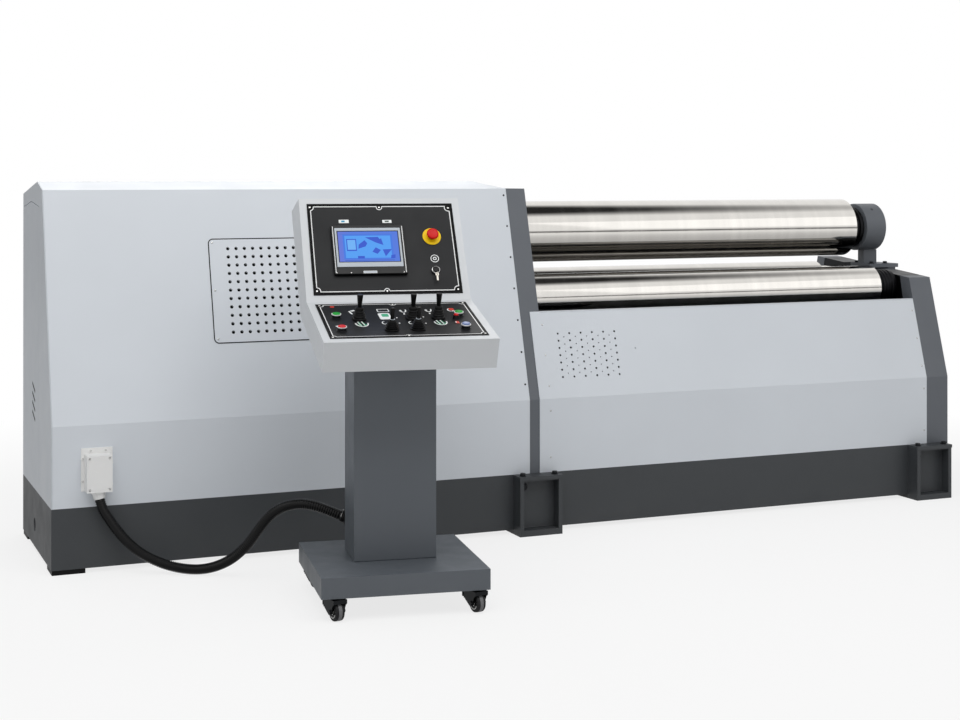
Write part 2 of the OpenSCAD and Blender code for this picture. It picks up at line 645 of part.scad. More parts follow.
base_plinth();
levelling_pads();
cabinet_housing();
cabinet_end_panel();
vent_panel();
drive_sill();
drive_columns();
drive_webs();
drive_head();
drop_sill();
drop_columns();
drop_webs();
front_cover();
rear_cover();
floor_brackets();
junction_box();
hose_glands();
console_hose();
console_base();
console_pillar();
console_head();
display_plate();
button_plate();
touch_screen();
estop_ring();
estop_knob();
key_switch();
key();
button_bezels();
lever_boots();
lever_1();
lever_2();
lever_3();
lever_4();
lever_5();
start_button();
stop_button();
pump_start_button();
pump_stop_button();
reset_button();
castor_fork_fl();
castor_fork_fr();
castor_fork_rl();
castor_fork_rr();
castor_wheel_fl();
castor_wheel_fr();
castor_wheel_rl();
castor_wheel_rr();
top_roll();
top_roll_journals();
bottom_roll();
bottom_roll_journals();
front_side_roll();
rear_side_roll();
bottom_bearing_blocks();
front_bearing_blocks();
rear_bearing_blocks();
swing_arm();
drop_end_collar();
arm_pivot_lugs();
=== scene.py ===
"""Looks of a four-roll plate bending machine and its operator console.

The model's own axes: +X along the rolls, +Y to the back, +Z up. Shapes and places are worked out
in millimetres and become metres in the mesh. The stage, the lamps and the camera are in metres.
"""
import json
import math

import bmesh
import bpy
import numpy as np
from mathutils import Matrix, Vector


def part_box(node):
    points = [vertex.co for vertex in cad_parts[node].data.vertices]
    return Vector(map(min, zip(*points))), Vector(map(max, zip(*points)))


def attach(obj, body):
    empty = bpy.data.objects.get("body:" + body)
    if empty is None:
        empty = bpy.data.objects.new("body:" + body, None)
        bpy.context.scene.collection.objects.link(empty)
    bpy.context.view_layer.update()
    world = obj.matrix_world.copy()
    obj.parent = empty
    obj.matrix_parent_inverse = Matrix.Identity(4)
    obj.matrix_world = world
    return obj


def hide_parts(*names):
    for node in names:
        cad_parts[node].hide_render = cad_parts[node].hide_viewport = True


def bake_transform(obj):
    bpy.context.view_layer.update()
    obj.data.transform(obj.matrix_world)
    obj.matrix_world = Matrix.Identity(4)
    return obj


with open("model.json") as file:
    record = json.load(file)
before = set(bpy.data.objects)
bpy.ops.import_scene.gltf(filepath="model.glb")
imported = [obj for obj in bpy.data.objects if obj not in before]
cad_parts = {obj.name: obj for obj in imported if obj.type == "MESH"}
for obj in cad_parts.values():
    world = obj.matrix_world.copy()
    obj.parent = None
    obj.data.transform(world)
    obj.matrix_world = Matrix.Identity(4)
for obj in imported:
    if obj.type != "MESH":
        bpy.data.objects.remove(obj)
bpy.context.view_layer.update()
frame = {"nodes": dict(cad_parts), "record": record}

JOINTS = {j["name"]: j for j in frame["record"]["behaviour"]["joints"]}
NODE_SLOT = {part["node"]: part["material_slot"] for part in frame["record"]["subparts"]}

MM_PER_METRE = 1000.0
MERGE_WITHIN = 2e-6
SHARP_ABOVE = math.radians(35)


# ---------------------------------------------------------------- small helpers
def unit(v):
    """v divided by its length, along the last axis."""
    v = np.asarray(v, float)
    return v / np.linalg.norm(v, axis=-1, keepdims=True)


def metres(p):
    """Millimetres as metres."""
    return np.asarray(p, float) / MM_PER_METRE


def box_of(node):
    """Lowest and highest corner of a CAD node, in millimetres."""
    low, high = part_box(node)
    return np.array(low) * MM_PER_METRE, np.array(high) * MM_PER_METRE


def axis_of(joint):
    """A joint's axis in the model's axes."""
    return np.array(JOINTS[joint]["axis"], float)


def srgb(r, g, b):
    """A colour written in 0-255 sRGB, as linear RGBA."""
    c = np.array([r, g, b]) / 255.0
    linear = np.where(c <= 0.04045, c / 12.92, ((c + 0.055) / 1.055) ** 2.4)
    return (*[float(x) for x in linear], 1.0)


class Place:
    """A local frame: an origin and the directions of its x, y and z."""

    def __init__(self, origin, x, z):
        self.o = np.array(origin, float)
        self.z = unit(z)
        self.x = unit(np.array(x, float) - np.dot(x, self.z) * self.z)
        self.y = np.cross(self.z, self.x)

    def put(self, p):
        """Local points to the model's axes: o + px x + py y + pz z."""
        p = np.asarray(p, float)
        return self.o + p[..., 0:1] * self.x + p[..., 1:2] * self.y + p[..., 2:3] * self.z

    def at(self, x=0.0, y=0.0, z=0.0):
        """The same directions with the origin moved by x, y, z along them."""
        return Place(self.put([x, y, z]), self.x, self.z)


def piece(name, shape, look, body="machine", stands_for=None):
    """One mesh piece from (points, faces), merged at seams and poles, with its look.

    It rides on its body, or on none, and may stand for a CAD node.
    """
    points, faces = shape
    material, usual_slot = LOOKS[look]
    mesh = bpy.data.meshes.new(name)
    mesh.from_pydata(metres(points).reshape(-1, 3).tolist(), [], [list(f) for f in faces])
    b = bmesh.new()
    b.from_mesh(mesh)
    bmesh.ops.remove_doubles(b, verts=b.verts, dist=MERGE_WITHIN)
    bmesh.ops.dissolve_degenerate(b, edges=b.edges, dist=1e-7)
    bmesh.ops.recalc_face_normals(b, faces=b.faces)
    b.to_mesh(mesh)
    b.free()
    mesh.materials.append(material)
    mesh.polygons.foreach_set("use_smooth", np.ones(len(mesh.polygons), bool))
    mesh.set_sharp_from_angle(angle=SHARP_ABOVE)
    obj = bpy.data.objects.new(name, mesh)
    bpy.context.scene.collection.objects.link(obj)
    if body:
        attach(obj, body)
    if stands_for:
        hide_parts(stands_for)
    return obj


# ---------------------------------------------------------------- shapes
def angles(n):
    """n equal steps round a full turn."""
    return np.linspace(0, 2 * math.pi, n, endpoint=False)


def grid_faces(nu, nv, wrap_u=False, wrap_v=False):
    """Quads between neighbours of an nu x nv grid of points, closed round u or v when asked."""
    u = np.arange(nu if wrap_u else nu - 1)
    v = np.arange(nv if wrap_v else nv - 1)
    uu, vv = np.meshgrid(u, v, indexing="ij")
    u2, v2 = (uu + 1) % nu, (vv + 1) % nv
    quads = np.stack([uu * nv + vv, u2 * nv + vv, u2 * nv + v2, uu * nv + v2], -1)
    return quads.reshape(-1, 4).tolist()


def tube_faces(nu, nv):
    """The faces of nu rings of nv points each, closed at both ends."""
    last = (nu - 1) * nv
    ends = [list(range(nv))[::-1], list(range(last, last + nv))]
    return grid_faces(nu, nv, wrap_v=True) + ends


def join(parts):
    """Several (points, faces) pairs as one, with the faces renumbered."""
    points, faces, count = [], [], 0
    for p, f in parts:
        p = np.asarray(p, float).reshape(-1, 3)
        points.append(p)
        faces += [[i + count for i in face] for face in f]
        count += len(p)
    return np.concatenate(points), faces


def turned(profile, place, n):
    """A turned shape: p(a, k) = o + r_k (cos a x + sin a y) + h_k z for a profile of (r, h)."""
    r, h = np.array(profile, float).T
    a = angles(n)[:, None]
    local = np.stack([np.cos(a) * r, np.sin(a) * r, np.ones_like(a) * h], -1)
    return place.put(local), grid_faces(n, len(r), wrap_u=True)


def squared(profile, place, corner, n):
    """A turned shape of (r, h, c), whose radius is r (1 + corner c (1 - cos 4a) / 2)."""
    r, h, c = np.array(profile, float).T
    a = angles(n)[:, None]
    grow = 1 + corner * c * (1 - np.cos(4 * a)) / 2
    local = np.stack([np.cos(a) * r * grow, np.sin(a) * r * grow, np.ones_like(a) * h], -1)
    return place.put(local), grid_faces(n, len(r), wrap_u=True)


def raised(flat, h):
    """Flat (x, y) points lifted to height h."""
    return np.concatenate([flat, np.full((len(flat), 1), float(h))], 1)


def rounded_loop(w, d, r, k):
    """Points round a w x d rectangle whose corners are arcs: corner + r (cos a, sin a)."""
    r = max(min(r, w / 2, d / 2), 0.01)
    a = np.linspace(0, math.pi / 2, k + 1)
    arcs = []
    for i, (sx, sy) in enumerate([(1, 1), (-1, 1), (-1, -1), (1, -1)]):
        t = a + i * math.pi / 2
        middle = [sx * (w / 2 - r), sy * (d / 2 - r)]
        arcs.append(middle + r * np.stack([np.cos(t), np.sin(t)], -1))
    return np.concatenate(arcs)


def slab(w, d, r, profile, place, k=4):
    """A rounded plate: outlines drawn in by inset_k at height h_k, closed over their middle."""
    loops = [raised(rounded_loop(w - 2 * inset, d - 2 * inset, r - inset, k), h)
             for inset, h in profile]
    middle = [np.zeros((len(loops[0]), 3)) + [0, 0, h] for h in (profile[0][1], profile[-1][1])]
    p = np.stack([middle[0], *loops, middle[1]])
    return place.put(p), grid_faces(len(p), p.shape[1], wrap_v=True)


def swept(profile, path, up, closed=False):
    """A profile of (a, b) carried along a path: p(i, j) = path_i + a_j side_i + b_j top_i."""
    path = np.asarray(path, float)
    if closed:
        t = unit(np.roll(path, -1, 0) - np.roll(path, 1, 0))
    else:
        t = unit(np.gradient(path, axis=0))
    side = unit(np.cross(t, np.broadcast_to(up, t.shape)))
    top = np.cross(side, t)
    ab = np.asarray(profile, float)
    p = path[:, None] + ab[None, :, 0:1] * side[:, None] + ab[None, :, 1:2] * top[:, None]
    if closed:
        return p, grid_faces(len(path), len(ab), wrap_u=True, wrap_v=True)
    return p, tube_faces(len(path), len(ab))


# ---------------------------------------------------------------- camera
def place_camera():
    """A long lens at eye height, left of the console, level and looking to the right."""
    data = bpy.data.cameras.new("camera")
    data.lens = 61.9
    data.sensor_width = 36.0
    data.shift_y = -0.196
    data.clip_end = 100.0
    camera = bpy.data.objects.new("camera", data)
    camera.location = (-2.537, -5.496, 1.301)
    camera.rotation_euler = (math.radians(90.16), 0.0, math.radians(-22.70))
    bpy.context.scene.collection.objects.link(camera)
    bpy.context.scene.camera = camera


# ---------------------------------------------------------------- finishes
def new_group(name, inputs):
    """An empty shader node group with its inputs, a finish's three outputs, and its end nodes."""
    group = bpy.data.node_groups.new(name, "ShaderNodeTree")
    for label, value in inputs.items():
        kind = "NodeSocketColor" if isinstance(value, tuple) else "NodeSocketFloat"
        group.interface.new_socket(label, in_out="INPUT", socket_type=kind).default_value = value
    for label, kind in (("Colour", "NodeSocketColor"), ("Roughness", "NodeSocketFloat"),
                        ("Normal", "NodeSocketVector")):
        group.interface.new_socket(label, in_out="OUTPUT", socket_type=kind)
    return group, group.nodes.new("NodeGroupInput"), group.nodes.new("NodeGroupOutput")


def node(tree, kind, link=(), **settings):
    """A node with its settings, and links given as (input, output socket or value)."""
    made = tree.nodes.new(kind)
    for key, value in settings.items():
        setattr(made, key, value)
    for socket, value in link:
        if isinstance(value, bpy.types.NodeSocket):
            tree.links.new(value, made.inputs[socket])
        else:
            made.inputs[socket].default_value = value
    return made


def maths(tree, operation, *values):
    """The result of a Math node on numbers or sockets."""
    return node(tree, "ShaderNodeMath", enumerate(values), operation=operation).outputs[0]


def mapped(tree, value, low, high, to_low, to_high):
    """A value's range low to high carried to to_low to to_high, clamped."""
    return node(tree, "ShaderNodeMapRange",
                [("Value", value), ("From Min", low), ("From Max", high), ("To Min", to_low),
                 ("To Max", to_high)]).outputs["Result"]


def mixed(tree, factor, a, b):
    """Colour a turned into colour b by factor."""
    return node(tree, "ShaderNodeMix", ((0, factor), (6, a), (7, b)), data_type="RGBA").outputs[2]


def blended_number(tree, factor, a, b):
    """Number a turned into number b by factor."""
    return node(tree, "ShaderNodeMix", ((0, factor), (2, a), (3, b)), data_type="FLOAT").outputs[0]


def shaded(tree, colour, by):
    """A colour times a number."""
    return node(tree, "ShaderNodeVectorMath", [(0, colour), (3, by)], operation="SCALE").outputs[0]


def noise(tree, where, scale, detail, roughness=0.5):
    """Soft noise of 0 to 1 at a position."""
    return node(tree, "ShaderNodeTexNoise",
                [("Vector", where), ("Scale", scale), ("Detail", detail),
                 ("Roughness", roughness)]).outputs["Fac"]


def position(tree):
    """Object coordinates."""
    return node(tree, "ShaderNodeTexCoord").outputs["Object"]


def part_of(tree, vector, axis):
    """One component of a vector."""
    return node(tree, "ShaderNodeSeparateXYZ", [(0, vector)]).outputs[axis]


def put_out(group, ends, colour, wear, wear_range, relief, depth, strength):
    """Wires a group's outputs: its colour, roughness by wear, and the normal of its relief."""
    given, out = ends
    rough = mapped(group, wear, *wear_range, given.outputs["Roughness Low"],
                   given.outputs["Roughness High"])
    bump = node(group, "ShaderNodeBump",
                [("Strength", strength), ("Distance", given.outputs[depth]), ("Height", relief)])
    for label, socket in (("Colour", colour), ("Roughness", rough),
                          ("Normal", bump.outputs["Normal"])):
        group.links.new(socket, out.inputs[label])
    return group


def coated_sheet_group():
    """Powder-coated sheet: a slow drift of shade, fine orange peel, and floor dust low down."""
    g, i, o = new_group("coated_sheet", {
        "Colour": (0.8, 0.8, 0.8, 1), "Drift": 0.03, "Peel Scale": 420.0, "Peel Depth": 0.00004,
        "Roughness Low": 0.35, "Roughness High": 0.5, "Dust": 0.3})
    where = position(g)
    smear = noise(g, where, 9.0, 5.0, 0.6)
    drift = maths(g, "MULTIPLY", mapped(g, noise(g, where, 1.7, 3.0), 0.3, 0.7, -1.0, 1.0),
                  i.outputs["Drift"])
    clean = shaded(g, i.outputs["Colour"], maths(g, "ADD", drift, 1.0))
    low = mapped(g, part_of(g, where, "Z"), 0.0, 0.16, 1.0, 0.0)
    specks = maths(g, "MULTIPLY", low, mapped(g, smear, 0.42, 0.72, 0.0, 1.0))
    dusty = mixed(g, maths(g, "MULTIPLY", specks, i.outputs["Dust"]), clean, srgb(176, 170, 160))
    peel = noise(g, where, i.outputs["Peel Scale"], 2.0)
    return put_out(g, (i, o), dusty, smear, (0.3, 0.7), peel, "Peel Depth", 0.6)


def turned_steel_group():
    """Ground steel: fine marks round the roll, so they change along X far faster than across."""
    g, i, o = new_group("turned_steel", {
        "Colour": (0.7, 0.7, 0.7, 1), "Marks": 420.0, "Depth": 0.00002, "Roughness Low": 0.14,
        "Roughness High": 0.26})
    where = position(g)
    drawn_out = [("Vector", where), ("Scale", (1.0, 0.01, 0.01))]
    along = node(g, "ShaderNodeMapping", drawn_out).outputs[0]
    bands = noise(g, along, 22.0, 3.0)
    tone = shaded(g, i.outputs["Colour"], mapped(g, bands, 0.3, 0.7, 0.95, 1.03))
    wear = maths(g, "MULTIPLY", bands, noise(g, where, 5.0, 4.0))
    marks = noise(g, along, i.outputs["Marks"], 4.0)
    return put_out(g, (i, o), tone, wear, (0.12, 0.42), marks, "Depth", 0.5)


def moulded_group():
    """Moulded plastic or rubber: a fine leathery grain and slightly rubbed high spots."""
    g, i, o = new_group("moulded", {
        "Colour": (0.1, 0.1, 0.1, 1), "Rubbed": (0.2, 0.2, 0.2, 1), "Grain Scale": 900.0,
        "Grain Depth": 0.00003, "Roughness Low": 0.4, "Roughness High": 0.55})
    where = position(g)
    patch = noise(g, where, 60.0, 4.0)
    share = mapped(g, patch, 0.5, 0.8, 0.0, 0.35)
    rubbed = mixed(g, share, i.outputs["Colour"], i.outputs["Rubbed"])
    grain = node(g, "ShaderNodeTexVoronoi",
                 [("Vector", where), ("Scale", i.outputs["Grain Scale"])]).outputs["Distance"]
    return put_out(g, (i, o), rubbed, patch, (0.3, 0.7), grain, "Grain Depth", 0.5)


COATED, TURNED, MOULDED = coated_sheet_group(), turned_steel_group(), moulded_group()


def new_material(name):
    """An empty material, its nodes and its main shader."""
    mat = bpy.data.materials.new(name)
    mat.use_nodes = True
    return mat, mat.node_tree, mat.node_tree.nodes["Principled BSDF"]


def material_from(name, group, rough, values, **sockets):
    """A material whose colour, roughness and normal come from a group with its own values."""
    mat, tree, shader = new_material(name)
    placed = node(tree, "ShaderNodeGroup", node_tree=group)
    for label, value in {**values, "Roughness Low": rough[0], "Roughness High": rough[1]}.items():
        placed.inputs[label].default_value = value
    for out, into in (("Colour", "Base Color"), ("Roughness", "Roughness"), ("Normal", "Normal")):
        tree.links.new(placed.outputs[out], shader.inputs[into])
    for label, value in sockets.items():
        shader.inputs[label.replace("_", " ")].default_value = value
    return mat


def coated(name, colour, rough, drift=0.025, peel=0.00004, dust=0.02, specular=0.5):
    """Powder coat of one colour."""
    return material_from(name, COATED, rough, {"Colour": srgb(*colour), "Drift": drift,
                                               "Peel Depth": peel, "Dust": dust},
                         Specular_IOR_Level=specular)


def moulded(name, colour, rubbed, rough, specular):
    """Moulded plastic or rubber of one colour."""
    return material_from(name, MOULDED, rough, {"Colour": srgb(*colour), "Rubbed": srgb(*rubbed)},
                         Specular_IOR_Level=specular)


def steel(name, colour, rough, marks, depth):
    """Bare machined steel."""
    return material_from(name, TURNED, rough, {"Colour": srgb(*colour), "Marks": marks,
                                               "Depth": depth}, Metallic=1.0)


# finish: colour, roughness from and to, and where it differs from plain powder coat
PAINTS = {
    "cabinet_paint": ((210, 215, 221), (0.30, 0.42), {}),
    # end_paint is the cabinet's light grey paint written darker, as painted shade for the end that
    # faces away from the lamps
    "end_paint": ((191, 196, 202), (0.36, 0.48), {}),
    "base_paint": ((58, 61, 64), (0.42, 0.58), {"peel": 0.00006}),
    "frame_paint": ((93, 97, 103), (0.40, 0.55), {"peel": 0.00006}),
    "pillar_paint": ((87, 92, 98), (0.36, 0.50), {}),
    "head_paint": ((204, 207, 210), (0.38, 0.50), {}),
    "black_plate": ((24, 25, 27), (0.46, 0.56),
                    {"drift": 0.06, "peel": 0.00002, "dust": 0.0, "specular": 0.25}),
}
# finish: slot, colour, roughness from and to, scale of the grinding marks, their depth in metres
STEELS = {
    "polished_roll": ("polished_roll", (222, 219, 214), (0.07, 0.14), 420.0, 0.00001),
    "black_steel": ("black_steel", (44, 45, 47), (0.36, 0.50), 160.0, 0.00004),
    "bright_metal": ("bright_metal", (214, 214, 212), (0.12, 0.22), 900.0, 0.00001),
    "key_steel": ("bright_metal", (168, 164, 156), (0.20, 0.32), 900.0, 0.00001),
}
# finish: slot, colour, colour where rubbed, roughness from and to, specular level
PLASTICS = {
    "rubber": ("rubber", (8, 8, 9), (18, 18, 19), (0.36, 0.50), 0.18),
    "hose_rubber": ("rubber", (5, 5, 6), (9, 9, 10), (0.18, 0.26), 0.22),
    "tyre": ("tyre", (24, 24, 26), (44, 44, 44), (0.50, 0.65), 0.25),
    "tyre_tread": ("tyre", (104, 104, 106), (120, 120, 120), (0.55, 0.70), 0.5),
    "box_plastic": ("box_plastic", (233, 233, 232), (238, 238, 236), (0.38, 0.46), 0.5),
    "black_plastic": ("black_plastic", (8, 8, 9), (16, 16, 18), (0.28, 0.40), 0.2),
    "red_plastic": ("red_plastic", (206, 14, 10), (214, 26, 18), (0.30, 0.40), 0.25),
    "yellow_plastic": ("yellow_plastic", (250, 208, 4), (250, 214, 20), (0.40, 0.50), 0.25),
    "green_plastic": ("green_plastic", (16, 156, 48), (28, 166, 60), (0.30, 0.40), 0.25),
    "blue_plastic": ("blue_plastic", (112, 130, 176), (136, 152, 196), (0.24, 0.34), 0.4),
    "screen": ("screen", (14, 14, 15), (24, 24, 26), (0.34, 0.44), 0.3),
    "white_print": ("box_plastic", (238, 241, 240), (230, 234, 232), (0.40, 0.50), 0.5),
    "silver_print": ("bright_metal", (232, 233, 233), (222, 224, 224), (0.30, 0.40), 0.5),
    "silver_fascia": ("bright_metal", (176, 184, 192), (186, 192, 198), (0.28, 0.36), 0.5),
    "green_print": ("green_plastic", (70, 176, 132), (80, 184, 140), (0.40, 0.50), 0.5),
    "red_print": ("red_plastic", (206, 52, 34), (210, 62, 44), (0.40, 0.50), 0.5),
    "cyan_print": ("blue_plastic", (40, 150, 190), (52, 160, 196), (0.40, 0.50), 0.5),
    "grey_print": ("base_paint", (70, 84, 78), (80, 94, 88), (0.40, 0.50), 0.5),
    "black_print": ("black_plate", (5, 5, 6), (9, 9, 10), (0.50, 0.60), 0.12),
}
# finish: its material and its slot
LOOKS = {
    **{name: (coated(name, colour, rough, **rest), name)
       for name, (colour, rough, rest) in PAINTS.items()},
    **{name: (steel(name, *rest), slot) for name, (slot, *rest) in STEELS.items()},
    **{name: (moulded(name, *rest), slot) for name, (slot, *rest) in PLASTICS.items()},
}

BLACKENED_FROM = 1.6352  # metres along X, as the material reads them
BLACKENED_NODES = ("top_roll_journals", "bottom_roll_journals", "front_side_roll")
ROUNDED_EDGES = {"cabinet_housing": 3.0, "console_pillar": 2.5, "base_plinth": 2.0,
                 "floor_brackets": 1.5}


def roll_with_black_end():
    """Polished roll whose far journal, beyond BLACKENED_FROM along X, is black oxide."""
    mat = steel("roll_with_black_end", *STEELS["polished_roll"][1:])
    tree = mat.node_tree
    shader = tree.nodes["Principled BSDF"]
    x = part_of(tree, position(tree), "X")
    beyond = mapped(tree, x, BLACKENED_FROM, BLACKENED_FROM + 0.0005, 0.0, 1.0)
    colour, rough = (shader.inputs[label].links[0].from_socket
                     for label in ("Base Color", "Roughness"))
    tree.links.new(mixed(tree, beyond, colour, srgb(34, 34, 36)), shader.inputs["Base Color"])
    tree.links.new(mapped(tree, beyond, 0.0, 1.0, rough, 0.38), shader.inputs["Roughness"])
    return mat


def dress_nodes():
    """Each CAD node takes its slot's finish, and folded sheets get rounded edges."""
    black_end = roll_with_black_end()
    for name, obj in frame["nodes"].items():
        for slot in obj.material_slots:
            slot.material = black_end if name in BLACKENED_NODES else LOOKS[NODE_SLOT[name]][0]
        if name in ROUNDED_EDGES:
            obj.modifiers.new("one skin", "WELD").merge_threshold = 0.00001
            edge = obj.modifiers.new("folded edge", "BEVEL")
            edge.width = ROUNDED_EDGES[name] / MM_PER_METRE
            edge.segments = 2
            edge.limit_method = "ANGLE"
            edge.angle_limit = math.radians(28)
            edge.harden_normals = True


place_camera()
dress_nodes()

# ---------------------------------------------------------------- console hose
HOSE_MEAN_RADIUS, RIB_HEIGHT, RIB_PITCH = 15.7, 1.3, 7.6
HOSE_STEP = 1.5
HOSE_ROUTE = np.array([
    (-1599.8, -32, 248.2), (-1597.8, -32, 238.7), (-1592.5, -32.5, 221), (-1583.5, -34.5, 201),
    (-1568, -38.5, 175.5), (-1547, -46.5, 144), (-1523, -57, 113.5), (-1496, -70, 86),
    (-1466, -83, 63), (-1433, -98, 45), (-1399, -114, 31), (-1363, -131, 21.5),
    (-1328, -151, 17.7), (-1294, -172, 19.5), (-1261, -195, 28.5), (-1232, -219, 44),
    (-1208, -243, 64), (-1188, -268, 89), (-1171, -292, 116), (-1157, -315, 146),
    (-1144, -338, 176), (-1130, -362, 205), (-1112, -387, 231), (-1089, -412, 250),
    (-1061, -437, 261.5), (-1031, -460, 264.5), (-999, -481, 258.5), (-966, -498.5, 246.5),
    (-940.1, -511.4, 235.5), (-929.7, -515.4, 231.5)])


def smooth_route(points, step):
    """Catmull-Rom curve through the points, cut again into equal steps along its length."""
    p = np.concatenate([[2 * points[0] - points[1]], points, [2 * points[-1] - points[-2]]])
    t = np.linspace(0, 1, 24, endpoint=False)[None, :, None]
    a, b, c, d = (p[i:len(p) - 3 + i, None] for i in range(4))
    curve = 0.5 * (2 * b + (c - a) * t + (2 * a - 5 * b + 4 * c - d) * t ** 2
                   + (3 * b - a - 3 * c + d) * t ** 3)
    curve = np.concatenate([curve.reshape(-1, 3), points[-1:]])
    s = np.concatenate([[0], np.cumsum(np.linalg.norm(np.diff(curve, axis=0), axis=1))])
    at = np.linspace(0, s[-1], int(s[-1] / step) + 1)
    return np.stack([np.interp(at, s, curve[:, k]) for k in range(3)], -1), float(s[-1])


def console_hose():
    """Corrugated hose: rings round the route, of radius mean + rib cos(2 pi s / pitch)."""
    route, length = smooth_route(HOSE_ROUTE, HOSE_STEP)
    s = np.linspace(0, length, len(route))
    t = unit(np.gradient(route, axis=0))
    side = unit(np.cross(t, [1.0, 1.0, 0.0]))
    top = np.cross(side, t)
    a = angles(20)[None, :, None]
    r = (HOSE_MEAN_RADIUS + RIB_HEIGHT * np.cos(2 * math.pi * s / RIB_PITCH))[:, None, None]
    p = route[:, None] + r * (np.cos(a) * side[:, None] + np.sin(a) * top[:, None])
    hose = piece("corrugated_hose", (p, tube_faces(*p.shape[:2])), "hose_rubber",
                 stands_for="console_hose")
    hose.data.set_sharp_from_angle(angle=math.radians(80))


console_hose()

# ---------------------------------------------------------------- control panels
PANEL_THICK = 2.0
CASE_FRONT, FASCIA_FRONT = 14.0, 15.4
PRINTED_OVER = 0.2


def plate_face(node, normal, u, t):
    """A control plate's front: x along the console, y up its slope, z out of it.

    u and t are the place of its middle.
    """
    low, high = box_of(node)
    return Place((low + high) / 2, axis_of("lever_1_tilt"), normal).at(-u, -t, PANEL_THICK / 2)


DISPLAY = plate_face("display_plate", axis_of("key_turn"), 0, 185)
DESK = plate_face("button_plate", -axis_of("start_button_push"), -1, 188)
SCREEN_CASE = DISPLAY.at(z=CASE_FRONT)


# ---------------------------------------------------------------- fasteners and printed lines
def screws(name, places, r, look="bright_metal", n=14):
    """Equal button-head screws with round sockets, 0.55 r high at the crown, as one piece."""
    head = np.array([(0, 0.12), (0.36, 0.12), (0.42, 0.55), (0.7, 0.5), (0.94, 0.25), (1, 0.0),
                     (0.9, -0.1), (0, -0.1)]) * r
    piece(name, join([turned(head, place, n) for place in places]), look)


def strip(face, points, width, closed=False, height=0.3):
    """A flat strip along points on a face: p(i, j) = point_i + a_j side_i + b_j out."""
    half = width / 2
    profile = [(-half, -0.05), (half, -0.05), (half, height), (-half, height)]
    return swept(profile, face.put(raised(points, 0.0)), up=face.z, closed=closed)


def arc(cx, cy, rx, ry, a0, a1, n):
    """Points of an ellipse's arc: c + (rx cos a, ry sin a), angles in degrees."""
    a = np.radians(np.linspace(a0, a1, n))
    return np.stack([cx + rx * np.cos(a), cy + ry * np.sin(a)], -1)


def box_line(u0, t0, u1, t1, r):
    """A rounded rectangle's outline between two corners."""
    return rounded_loop(u1 - u0, t1 - t0, r, 3) + [(u0 + u1) / 2, (t0 + t1) / 2]


def pad(face, u0, t0, u1, t1, r=1.5, h0=0.0, h1=0.3, round_over=0.0):
    """A thin rounded block on a face between two corners, from height h0 to h1."""
    side = [(0, h0), (0, h1 - round_over)] + ([(round_over, h1)] if round_over else [])
    return slab(u1 - u0, t1 - t0, r, side, face.at((u0 + u1) / 2, (t0 + t1) / 2))


def framed(face, loops):
    """A closed ring on a face through loops of (outline, height), each with the same points."""
    p = np.stack([raised(outline, h) for outline, h in loops])
    return face.put(p), grid_faces(len(loops), p.shape[1], wrap_u=True, wrap_v=True)


def bitten_outline(edge, corners, mids, corner_r, mid_r):
    """A rectangle's outline with an arc bitten out round each screw: screw + r (cos a, sin a)."""
    left, right, low, high = edge

    def bite(screw, r, start, end):
        """The arc round a screw between two directions, a falling."""
        a0, a1 = math.atan2(start[1], start[0]), math.atan2(end[1], end[0])
        while a1 >= a0:
            a1 -= 2 * math.pi
        return arc(*screw, r, r, math.degrees(a0), math.degrees(a1), 12)

    def to_side(screw, x, up):
        """From a corner screw to where its arc meets an upright side."""
        dx = x - screw[0]
        return dx, up * math.sqrt(corner_r ** 2 - dx ** 2)

    def to_level(screw, y, r, along):
        """From a screw to where its arc meets the upper or lower side."""
        dy = y - screw[1]
        return along * math.sqrt(r ** 2 - dy ** 2), dy

    (ll, lr, hr, hl), (lm, hm) = corners, mids
    return np.concatenate([
        bite(ll, corner_r, to_side(ll, left, 1), to_level(ll, low, corner_r, 1)),
        bite(lm, mid_r, to_level(lm, low, mid_r, -1), to_level(lm, low, mid_r, 1)),
        bite(lr, corner_r, to_level(lr, low, corner_r, -1), to_side(lr, right, 1)),
        bite(hr, corner_r, to_side(hr, right, -1), to_level(hr, high, corner_r, -1)),
        bite(hm, mid_r, to_level(hm, high, mid_r, 1), to_level(hm, high, mid_r, -1)),
        bite(hl, corner_r, to_level(hl, high, corner_r, 1), to_side(hl, left, -1))])


LINE_INSIDE, CORNER_BITE, MID_BITE, PLATE_SCREW = 11.0, 11.5, 8.5, 3.8


def plate_trim(name, face, edge, corners, mids):
    """Silver line inside a control plate's edge, black beyond it, and the screws that it rounds."""
    left, right, low, high = edge
    inner = (left + LINE_INSIDE, right - LINE_INSIDE, low + LINE_INSIDE, high - LINE_INSIDE)
    line = bitten_outline(inner, corners, mids, CORNER_BITE, MID_BITE)
    piece(name + "_border_line", strip(face, line, 2.8, closed=True), "silver_print")
    middle = np.array([left + right, low + high]) / 2
    half = np.array([right - left, high - low]) / 2
    out = 0.997 * (line - middle) / np.abs((line - middle) / half).max(axis=1, keepdims=True)
    piece(name + "_black_edge", framed(face, [
        (line, 0.0), (line, PRINTED_OVER), (out + middle, PRINTED_OVER), (out + middle, 0.0)]),
        "black_print")
    screws(name + "_screws", [face.at(*s) for s in corners + mids], PLATE_SCREW)


# ---------------------------------------------------------------- display face
GLASS_CORNER = (-151, 128)
GLASS_SIZE = (197.5, 112.5)
GLASS_MIDDLE = np.array([-52.25, 184.25])


